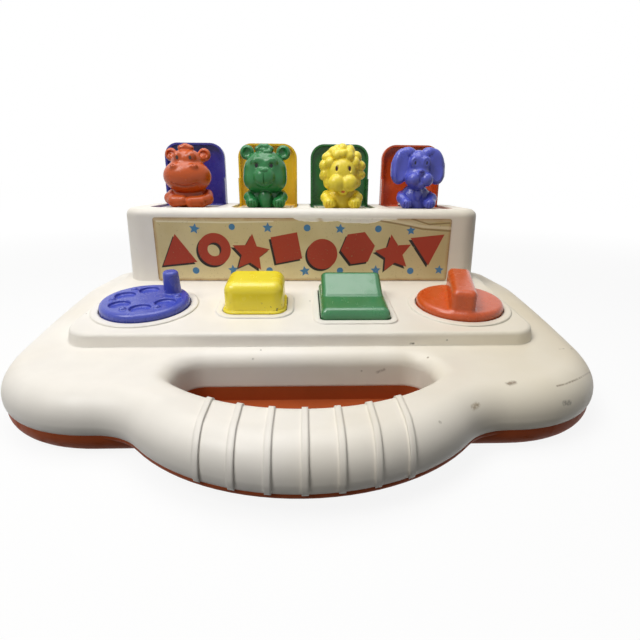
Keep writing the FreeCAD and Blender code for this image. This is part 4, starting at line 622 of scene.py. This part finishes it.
class Clay:
    """A form as a distance field in millimetres: soft pieces are added and pressed in."""

    def __init__(self, low, high, foot=0.0):
        self.low = np.array(low)
        self.foot = foot
        counts = np.ceil((np.array(high) - self.low) / CELL).astype(int)
        self.axes = [self.low[i] + CELL * np.arange(counts[i]) for i in range(3)]
        self.field = np.full(counts, FAR, np.float32)
        self.marks = []

    def near(self, low, high):
        """Index ranges and open grids of the samples inside a box."""
        parts, grids = [], []
        for i in range(3):
            a, b = np.searchsorted(self.axes[i], (low[i], high[i]))
            parts.append(slice(a, b))
            shape = [1, 1, 1]
            shape[i] = b - a
            grids.append(self.axes[i][a:b].reshape(shape).astype(np.float32))
        return tuple(parts), grids

    def merge(self, where, distance, soft, cut):
        """Joins a second form on, or cuts it out, with a rounded seam."""
        old = self.field[where]
        if cut:
            old = -old
        share = np.clip(0.5 + 0.5 * (distance - old) / soft, 0.0, 1.0)
        new = distance * (1 - share) + old * share - soft * share * (1 - share)
        self.field[where] = -new if cut else new

    def blob(self, centre, radii, soft=1.2, turn=0.0, cut=False):
        """Ellipsoid, turned about the Y axis by some degrees."""
        reach = max(radii) + soft + 1.0
        where, (x, y, z) = self.near([c - reach for c in centre], [c + reach for c in centre])
        x, y, z = x - centre[0], y - centre[1], z - centre[2]
        c, s = math.cos(math.radians(turn)), math.sin(math.radians(turn))
        u, w = x * c + z * s, z * c - x * s
        a, b, d = u / radii[0], y / radii[1], w / radii[2]
        k0 = np.sqrt(a * a + b * b + d * d)
        a, b, d = a / radii[0], b / radii[1], d / radii[2]
        k1 = np.sqrt(a * a + b * b + d * d) + 1e-6
        self.merge(where, k0 * (k0 - 1) / k1, soft, cut)

    def slab(self, centre, half, corner, soft, tilt, spin=0.0):
        """Block with round edges, spun about Z and then tilted about X by some degrees."""
        reach = math.dist(half, (0, 0, 0)) + soft + 1.0
        where, (x, y, z) = self.near([c - reach for c in centre], [c + reach for c in centre])
        x, y, z = x - centre[0], y - centre[1], z - centre[2]
        c, s = math.cos(math.radians(tilt)), math.sin(math.radians(tilt))
        y, z = y * c + z * s, z * c - y * s
        c, s = math.cos(math.radians(spin)), math.sin(math.radians(spin))
        x, y = x * c + y * s, y * c - x * s
        over = [np.abs(v) - (h - corner) for v, h in zip((x, y, z), half)]
        outside = np.sqrt(sum(np.maximum(v, 0) ** 2 for v in over))
        inside = np.minimum(np.maximum(np.maximum(over[0], over[1]), over[2]), 0)
        self.merge(where, outside + inside - corner, soft, False)

    def puck(self, centre, radius, half, corner, soft=0.6, cut=False, taper=0.0):
        """Upright round piece with a rounded rim; taper narrows it per millimetre of height."""
        reach = radius + soft + 2.0
        reaches = (reach, reach, half + soft + 2.0)
        where, (x, y, z) = self.near([c - r for c, r in zip(centre, reaches)],
                                     [c + r for c, r in zip(centre, reaches)])
        x, y, z = x - centre[0], y - centre[1], z - centre[2]
        side = np.sqrt(x * x + y * y) - (radius - taper * (z + half)) + corner
        ends = np.abs(z) - half + corner
        outside = np.sqrt(np.maximum(side, 0) ** 2 + np.maximum(ends, 0) ** 2)
        self.merge(where, outside + np.minimum(np.maximum(side, ends), 0) - corner, soft, cut)

    def keep_inside(self, distance, soft):
        """Keeps what a second form covers, with a round edge between the two."""
        share = np.clip(0.5 + 0.5 * (self.field - distance) / soft, 0.0, 1.0)
        self.field = self.field * share + distance * (1 - share) + soft * share * (1 - share)

    def hollow(self, wall):
        """Empties the form from below."""
        self.field = np.maximum(self.field, -(self.field + wall))

    def rope(self, points, radii, soft, cut=False):
        """Round bar through points, with a radius at each."""
        stations = list(zip(points, radii))
        for (a, ra), (b, rb) in zip(stations, stations[1:]):
            reach = max(ra, rb) + soft + 1.0
            low = [min(p, q) - reach for p, q in zip(a, b)]
            high = [max(p, q) + reach for p, q in zip(a, b)]
            where, (x, y, z) = self.near(low, high)
            along = [q - p for p, q in zip(a, b)]
            length = sum(v * v for v in along)
            x, y, z = x - a[0], y - a[1], z - a[2]
            t = np.clip((x * along[0] + y * along[1] + z * along[2]) / length, 0.0, 1.0)
            gap = np.sqrt(sum((v - t * u) ** 2 for v, u in zip((x, y, z), along)))
            self.merge(where, gap - (ra + (rb - ra) * t), soft, cut)

    def front(self, x, z):
        """Depth at which the form's front surface lies."""
        i = int(round((x - self.low[0]) / CELL))
        k = int(round((z - self.low[2]) / CELL))
        column = self.field[i, :, k]
        inside = np.nonzero(column < 0)[0]
        return self.axes[1][inside[0]] if len(inside) else 0.0

    def groove(self, places, width=0.45, soft=0.3, sink=0.0):
        """Line pressed into the front through (x, z) places."""
        points = [(x, self.front(x, z) + sink, z) for x, z in places]
        self.rope(points, [width] * len(points), soft, cut=True)

    def bead(self, x, z, radii, out, soft=0.2):
        """Small raised piece that stands out of the front surface."""
        self.blob((x, self.front(x, z) + radii[1] - out, z), radii, soft)

    def dimple(self, x, z, radii, soft=0.3):
        """Hollow pressed into the front surface."""
        self.blob((x, self.front(x, z), z), radii, soft, cut=True)

    def ear(self, side, x, z, radius):
        """Round ear, hollow in front."""
        self.blob((side * x, 1.5, z), (radius, radius * 0.62, radius), 1.0)
        hollow = radius * 0.66
        self.blob((side * x, 1.5 - hollow, z), (hollow, radius * 0.5, hollow), 0.4, cut=True)

    def paw(self, side, x, size=4.5):
        """Forearm and toed paw."""
        forearm = [(side * (x + 1.6), 0.0, 8.6), (side * (x + 2.4), -4.5, 7.0),
                   (side * (x + 0.4), -8.0, 4.6)]
        self.rope(forearm, [3.4, 3.5, 3.6], 0.9)
        self.blob((side * x, -9.0, 3.7), (size, size * 1.1, size * 0.9), 0.5)
        for step in (-0.42, 0.0, 0.42):
            toe = side * x + step * size
            self.groove([(toe, 0.8), (toe, 2.4), (toe, 4.4)], 0.36, 0.25)

    def mark(self, x, z, radii, colour):
        """Painted spot on the front surface."""
        self.marks.append(((x, self.front(x, z), z), radii, colour))

    def mesh(self, name, turn=None):
        """The form's surface above its foot, in metres."""
        above = self.axes[2].reshape(1, 1, -1).astype(np.float32) - self.foot
        field = np.maximum(self.field, -above)
        grid = openvdb.FloatGrid()
        grid.copyFromArray(np.ascontiguousarray(field, dtype=np.float32))
        points, quads = grid.convertToQuads(0.0)
        points = (points * CELL + self.low) * MM
        if turn is not None:
            points = points @ np.array(turn.to_3x3()).T + np.array(turn.translation)
        data = bpy.data.meshes.new(name)
        data.from_pydata(points.tolist(), [], quads[:, ::-1].tolist())
        data.update()
        shape = bmesh.new()
        shape.from_mesh(data)
        bmesh.ops.recalc_face_normals(shape, faces=shape.faces)
        shape.to_mesh(data)
        shape.free()
        data.polygons.foreach_set("use_smooth", [True] * len(data.polygons))
        return data


# ---- Animals: places and radii in millimetres, x to the right, y to the rear -----------
def hippo(clay):
    clay.blob((0, 1, 7.5), (12.6, 9.8, 10.0))
    clay.rope([(-12.0, 0, 8.5), (-12.8, -5.0, 6.0), (-9.0, -9.2, 4.4), (-2.5, -11.4, 4.8)],
              [3.6, 3.9, 4.1, 3.4], 0.7)
    clay.rope([(12.0, 0, 8.5), (12.8, -5.0, 5.6), (9.0, -9.2, 4.1), (2.5, -11.6, 3.9)],
              [3.6, 3.9, 4.0, 3.6], 0.5)
    clay.blob((0, -4.2, 20.4), (16.1, 11.6, 11.3), 0.9)
    clay.blob((0, -1.6, 30.2), (10.6, 9.4, 8.0), 1.6)
    for side in (-1, 1):
        clay.ear(side, 11.2, 34.6, 4.3)
        clay.rope([(side * 8, 0.5, 31), (side * 10.5, 1.5, 33)], [3.0, 2.6], 1.2)
        clay.blob((side * 4.3, -8.4, 33.0), (3.2, 2.2, 3.4), 1.2)
        clay.bead(side * 4.3, 32.6, (1.6, 0.8, 2.1), 0.45, 0.25)
        clay.blob((side * 6.6, -12.6, 26.9), (2.3, 1.4, 1.4), 2.2)
        clay.dimple(side * 6.6, 27.5, (0.8, 0.5, 0.45))
        clay.blob((side * 2.4, -3.0, 38.6), (3.0, 2.4, 2.0), 0.9)
        clay.mark(side * 4.3, 32.3, (1.05, 1.0, 1.45), "4b3a34")
    clay.blob((0, -3.2, 39.4), (3.0, 2.3, 2.2), 0.9)
    clay.groove([(x, 14.2 + 0.028 * x * x) for x in np.linspace(-8.5, 8.5, 13)], 0.42, 0.7, 0.1)
    for side in (-1, 1):
        clay.groove([(side * 12.6, 2.2), (side * 12.2, 4.6)], 0.3)
        clay.groove([(side * 10.2, 1.2), (side * 10.0, 3.2)], 0.3)


def bear(clay):
    clay.blob((0, 1.2, 6.5), (12.4, 9.2, 10.5))
    for side in (-1, 1):
        clay.paw(side, 9.2)
    clay.blob((0, -6.0, 6.0), (5.2, 5.4, 7.4), 0.35)
    clay.blob((0, -2.4, 23.6), (14.8, 12.4, 14.4), 0.6)
    for side in (-1, 1):
        clay.blob((side * 7.0, -5.4, 18.6), (7.8, 8.0, 7.8), 2.0)
        clay.ear(side, 12.4, 36.4, 4.9)
        clay.blob((side * 5.0, -11.4, 30.4), (3.8, 2.6, 2.8), 2.0)
    clay.blob((0, -12.8, 20.2), (7.3, 5.2, 6.6), 0.9)
    for side in (-1, 1):
        clay.dimple(side * 4.9, 27.6, (1.6, 0.6, 1.8), 0.6)
        clay.bead(side * 4.9, 27.6, (1.15, 0.9, 1.4), 0.45)
        clay.mark(side * 4.9, 27.6, (1.2, 1.6, 1.5), "020403")
    clay.bead(0, 24.4, (2.7, 1.5, 1.8), 1.1)
    clay.groove([(0, 22.4), (0, 19.0), (0, 15.6)], 0.36)
    clay.groove([(x, 15.2 + 0.075 * x * x) for x in np.linspace(-5.4, 5.4, 11)], 0.4)
    clay.blob((0, -4.4, 37.4), (5.2, 3.6, 3.0), 0.8)
    curl = [(-4.2, -5.2, 36.6), (-4.6, -5.2, 38.2), (-2.0, -5.4, 39.8), (1.6, -5.5, 39.8),
            (4.2, -5.8, 38.2), (3.4, -7.2, 36.4), (0.6, -8.0, 36.0), (-0.8, -7.6, 37.4)]
    clay.rope(curl, [1.5, 1.8, 1.9, 1.9, 1.9, 1.7, 1.4, 1.2], 0.4)


# rows of the mane: curls, ring half width, ring half height, depth, curl radius
MANE = ((13, 12.1, 12.9, -2.0, 4.1), (11, 11.2, 12.4, 4.5, 4.4), (8, 9.4, 11.0, -6.6, 3.5))
MANE_HEIGHT = 25.6
MANE_START = -66.0              # degrees; the rings leave a gap under the chin
MANE_SWEEP = 312.0


def lion(clay):
    clay.blob((0, 1.2, 6.5), (11.6, 8.8, 10.5))
    for side in (-1, 1):
        clay.paw(side, 8.8, 4.7)
    clay.blob((0, 0.0, 24.0), (12.8, 10.4, 12.8), 0.8)
    for count, wide, high, depth, size in MANE:
        for i in range(count):
            share = (i + 0.5 * (depth > 0)) / (count - 1)
            angle = math.radians(MANE_START + MANE_SWEEP * share)
            if depth < -5 and math.sin(angle) < -0.1:
                continue
            wobble = 0.6 * math.sin(5.1 * i + depth)
            clay.blob((wide * math.cos(angle), depth, MANE_HEIGHT + high * math.sin(angle)),
                      (size + wobble, size * 0.95, size - wobble), 0.9)
    for x, z in ((-3.8, 34.4), (0.6, 35.8), (4.4, 34.0)):
        clay.blob((x, -8.0, z), (3.3, 2.8, 3.0), 0.6)
    clay.blob((0, -7.6, 23.0), (9.4, 6.4, 10.2), 0.6)
    for side in (-1, 1):
        clay.blob((side * 4.2, -12.0, 16.8), (6.0, 5.0, 5.6), 1.0)
    clay.blob((0, -11.4, 11.8), (3.8, 3.6, 2.8), 0.6)
    for side in (-1, 1):
        clay.dimple(side * 4.4, 26.2, (1.5, 0.7, 2.4), 0.4)
        clay.bead(side * 4.4, 26.2, (1.1, 0.7, 2.0), 0.5)
        clay.mark(side * 4.4, 26.2, (0.95, 1.0, 1.8), "3a0f08")
    clay.dimple(0, 11.3, (1.6, 0.8, 0.8), 0.3)
    clay.mark(0, 11.3, (1.5, 1.2, 1.0), "ee7a1c")


def dog(clay):
    clay.blob((0, 1.0, 6.5), (10.8, 8.8, 10.8))
    for side in (-1, 1):
        clay.paw(side, 8.2, 4.2)
    clay.blob((0, -6.0, 9.6), (3.4, 3.8, 5.0), 0.6)
    clay.blob((0, -1.5, 27.6), (8.8, 9.0, 11.4), 0.6)
    clay.blob((0, -4.5, 20.6), (9.4, 8.4, 7.4), 2.0)
    for side in (-1, 1):
        clay.blob((side * 7.4, -1.2, 37.0), (5.6, 4.2, 4.0), 1.0)
        clay.blob((side * 12.0, -1.8, 28.6), (6.8, 4.4, 11.6), 0.5, side * 9.0)
        clay.blob((side * 13.2, -3.2, 23.0), (5.4, 3.8, 6.8), 1.2, side * 6.0)
        clay.blob((side * 12.0, -6.2, 28.2), (3.2, 1.3, 9.0), 1.8, side * 9.0, cut=True)
        clay.blob((side * 4.4, -10.4, 19.6), (4.7, 4.6, 4.6), 0.5)
        clay.blob((side * 4.0, -8.4, 31.0), (3.2, 2.2, 3.8), 1.4)
    clay.blob((0, -10.0, 16.2), (3.6, 3.6, 2.8), 0.6)
    clay.blob((0, -10.6, 23.6), (2.8, 3.6, 2.4), 1.0)
    for side in (-1, 1):
        clay.dimple(side * 4.0, 30.8, (1.8, 0.5, 2.4), 0.3)
        clay.bead(side * 4.0, 30.6, (1.4, 0.7, 2.0), 0.4)
        clay.mark(side * 4.0, 30.4, (0.7, 1.0, 1.3), "14143a")
    clay.bead(0, 24.6, (1.9, 1.1, 1.3), 0.8)
    clay.mark(0, 24.6, (1.6, 1.2, 1.2), "2b2c90")


FIGURE_SPACE = ((-18.5, -18.5, -1.0), (18.5, 18.5, 44.0))
FIGURE_AHEAD = 0.0234           # figure's middle behind its sticker's front edge
FIGURES = (                     # name, form, colour, roughness
    ("hippo", hippo, "cf591b", 0.20),
    ("bear", bear, "308449", 0.18),
    ("lion", lion, "fae245", 0.26),
    ("dog", dog, "565ec8", 0.18),
)
MARK_EDGE = 0.18                # soft share of a painted spot


# ---- Controls: forms in millimetres, in each control's own frame -----------------------
DECK_ANGLE = math.radians(6.4)
ROCKER_SPACE = ((-20.5, -24.0, -4.0), (20.5, 25.5, 27.5))
ROCKER_BACK_R = 24.0            # its back is round about the pivot
ROCKER_SWEEP = 34.0             # degrees up from the pivot that pass the deck's opening
ROCKER_PEAK_ANGLE = 10.0        # in these next degrees the back comes out further
ROCKER_PEAK = 2.6               # by this much
ROCKER_EDGE = 2.4
ROCKER_SKIRT = -1.5             # its walls end here, from the pivot
ROCKER_WALL = 2.2
TURNING_SPACE = ((-26.5, -26.5, -2.0), (26.5, 26.5, 20.5))
DISC_R = 24.5
DISC_TOP = 5.0
DISC_FOOT = -0.7                # in its shallow well
DISC_RIM = 2.6
RECESSES = 5
RECESS_START = 98.0             # degrees
RECESS_STEP = 60.0
RECESS_RING = 14.0
BUMP_RING = 17.5
PEG_RING = 16.5
PEG_ANGLE = 38.0
PEG_TAPER = 0.045
GRIP_TURN = -14.0


def rocker_form(clay):
    """Low front half and a raised back half with a sloping top, about the pivot."""
    clay.slab((0, 0.75, 3.0), (19.0, 23.25, 10.1), 4.0, 0.5, 2.4)
    clay.slab((0, 9.3, 10.4), (17.8, 12.0, 8.3), 3.6, 0.5, 25.6)
    y, z = clay.axes[1].reshape(1, -1, 1), clay.axes[2].reshape(1, 1, -1)
    past = (np.degrees(np.arctan2(z, y)) - ROCKER_SWEEP) / ROCKER_PEAK_ANGLE
    peak = ROCKER_PEAK * np.clip(past, 0, 1) * (y > 0)
    clay.keep_inside(np.sqrt(y * y + z * z) - ROCKER_BACK_R - peak, ROCKER_EDGE)
    clay.hollow(ROCKER_WALL)


def on_ring(radius, degrees, height):
    """Place on a ring about a control's axis."""
    angle = math.radians(degrees)
    return (radius * math.cos(angle), radius * math.sin(angle), height)


def turning_disc(clay):
    clay.puck((0, 0, 0), DISC_R, DISC_TOP, DISC_RIM)


def dial_form(clay):
    """Disc with flat-bottomed finger recesses, small bumps and a tapering peg."""
    turning_disc(clay)
    for i in range(RECESSES):
        angle = RECESS_START + RECESS_STEP * i
        clay.puck(on_ring(RECESS_RING, angle, DISC_TOP + 2.4), 5.7, 4.2, 0.9, 0.7, cut=True)
        bump = on_ring(BUMP_RING, angle + RECESS_STEP / 2, DISC_TOP - 0.1)
        clay.blob(bump, (2.0, 2.0, 1.7), 0.5)
    clay.puck(on_ring(PEG_RING, PEG_ANGLE, 10.9), 5.0, 7.1, 1.7, 0.9, taper=PEG_TAPER)


def knob_form(clay):
    """Disc with a thick grip bar across it, round at its top and ends."""
    turning_disc(clay)
    clay.slab((0, 0, DISC_TOP + 2.45), (6.6, 22.0, 9.25), 3.2, 1.6, 0.0, GRIP_TURN)


# ---- Pieces that stand in for CAD nodes ------------------------------------------------
CREVICE_SHADE_REACH = 0.0018            # metres into a figure's creases that its painted shade reaches
CREVICE_SHADE_LEVEL = 0.35              # the painted shade's colour as a share of the vinyl's own colour
CREVICE_SHADE_STRENGTH = 0.40


def new_piece(name, mesh, material):
    piece = bpy.data.objects.new(name, mesh)
    bpy.context.collection.objects.link(piece)
    mesh.materials.append(material.material)
    return piece


def add_figures():
    for number, (name, form, code, roughness) in enumerate(FIGURES, start=1):
        clay = Clay(*FIGURE_SPACE)
        form(clay)
        vinyl = plastic(name + "_vinyl", code, roughness, 0.05, 0.05)
        # painted shade in each figure's creases: a darker copy of its vinyl colour
        dark = tuple(CREVICE_SHADE_LEVEL * c for c in srgb(code))
        crevice_shade = vinyl.ramp(vinyl.crevices(CREVICE_SHADE_REACH), 0.50, 1.0)
        vinyl.paint(dark, vinyl.maths("MULTIPLY", crevice_shade, CREVICE_SHADE_STRENGTH))
        for place, radii, paint in clay.marks:
            place, radii = [c * MM for c in place], [c * MM for c in radii]
            vinyl.stain(paint, vinyl.spot(place, radii, MARK_EDGE))
        figure = new_piece(name, clay.mesh(name), vinyl)
        low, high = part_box("floor_sticker_%d" % number)
        figure.location = ((low[0] + high[0]) / 2, low[1] + FIGURE_AHEAD, high[2])
        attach(figure, "flap_%d" % number)
        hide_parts(name + "_figure")


def control_piece(name, form, space, foot, pivot, material):
    """A control's outer form, modelled about its pivot and laid on the sloping deck."""
    clay = Clay(*space, foot=foot)
    form(clay)
    turn = Matrix.Translation(pivot) @ Matrix.Rotation(DECK_ANGLE, 4, "X")
    return new_piece(name, clay.mesh(name, turn), material)


def add_rocker():
    low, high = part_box("rocker_pin")
    pivot = [(a + b) / 2 for a, b in zip(low, high)]
    piece = control_piece("rocker_cap", rocker_form, ROCKER_SPACE, ROCKER_SKIRT, pivot,
                          plastic("rocker_green", "2a7d46", 0.20, gloss=0.8))
    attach(piece, "rocker")
    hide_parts("rocker")


def add_dial_and_knob():
    joints = {joint["name"]: joint for joint in frame["record"]["behaviour"]["joints"]}
    for node, form, code in (("dial", dial_form, "4350bb"), ("knob", knob_form, "cf5519")):
        piece = control_piece(node + "_cap", form, TURNING_SPACE, DISC_FOOT,
                              joints[node + "_turn"]["pos_m"],
                              plastic(node + "_cap_plastic", code, 0.24, gloss=0.6))
        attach(piece, node)
        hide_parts(node)


# ---- Making --------------------------------------------------------------------------
bpy.context.scene.view_settings.view_transform = "Standard"
add_camera()
add_lamps()
add_world()
add_floor()
dress_nodes()
add_figures()
add_rocker()
add_dial_and_knob()
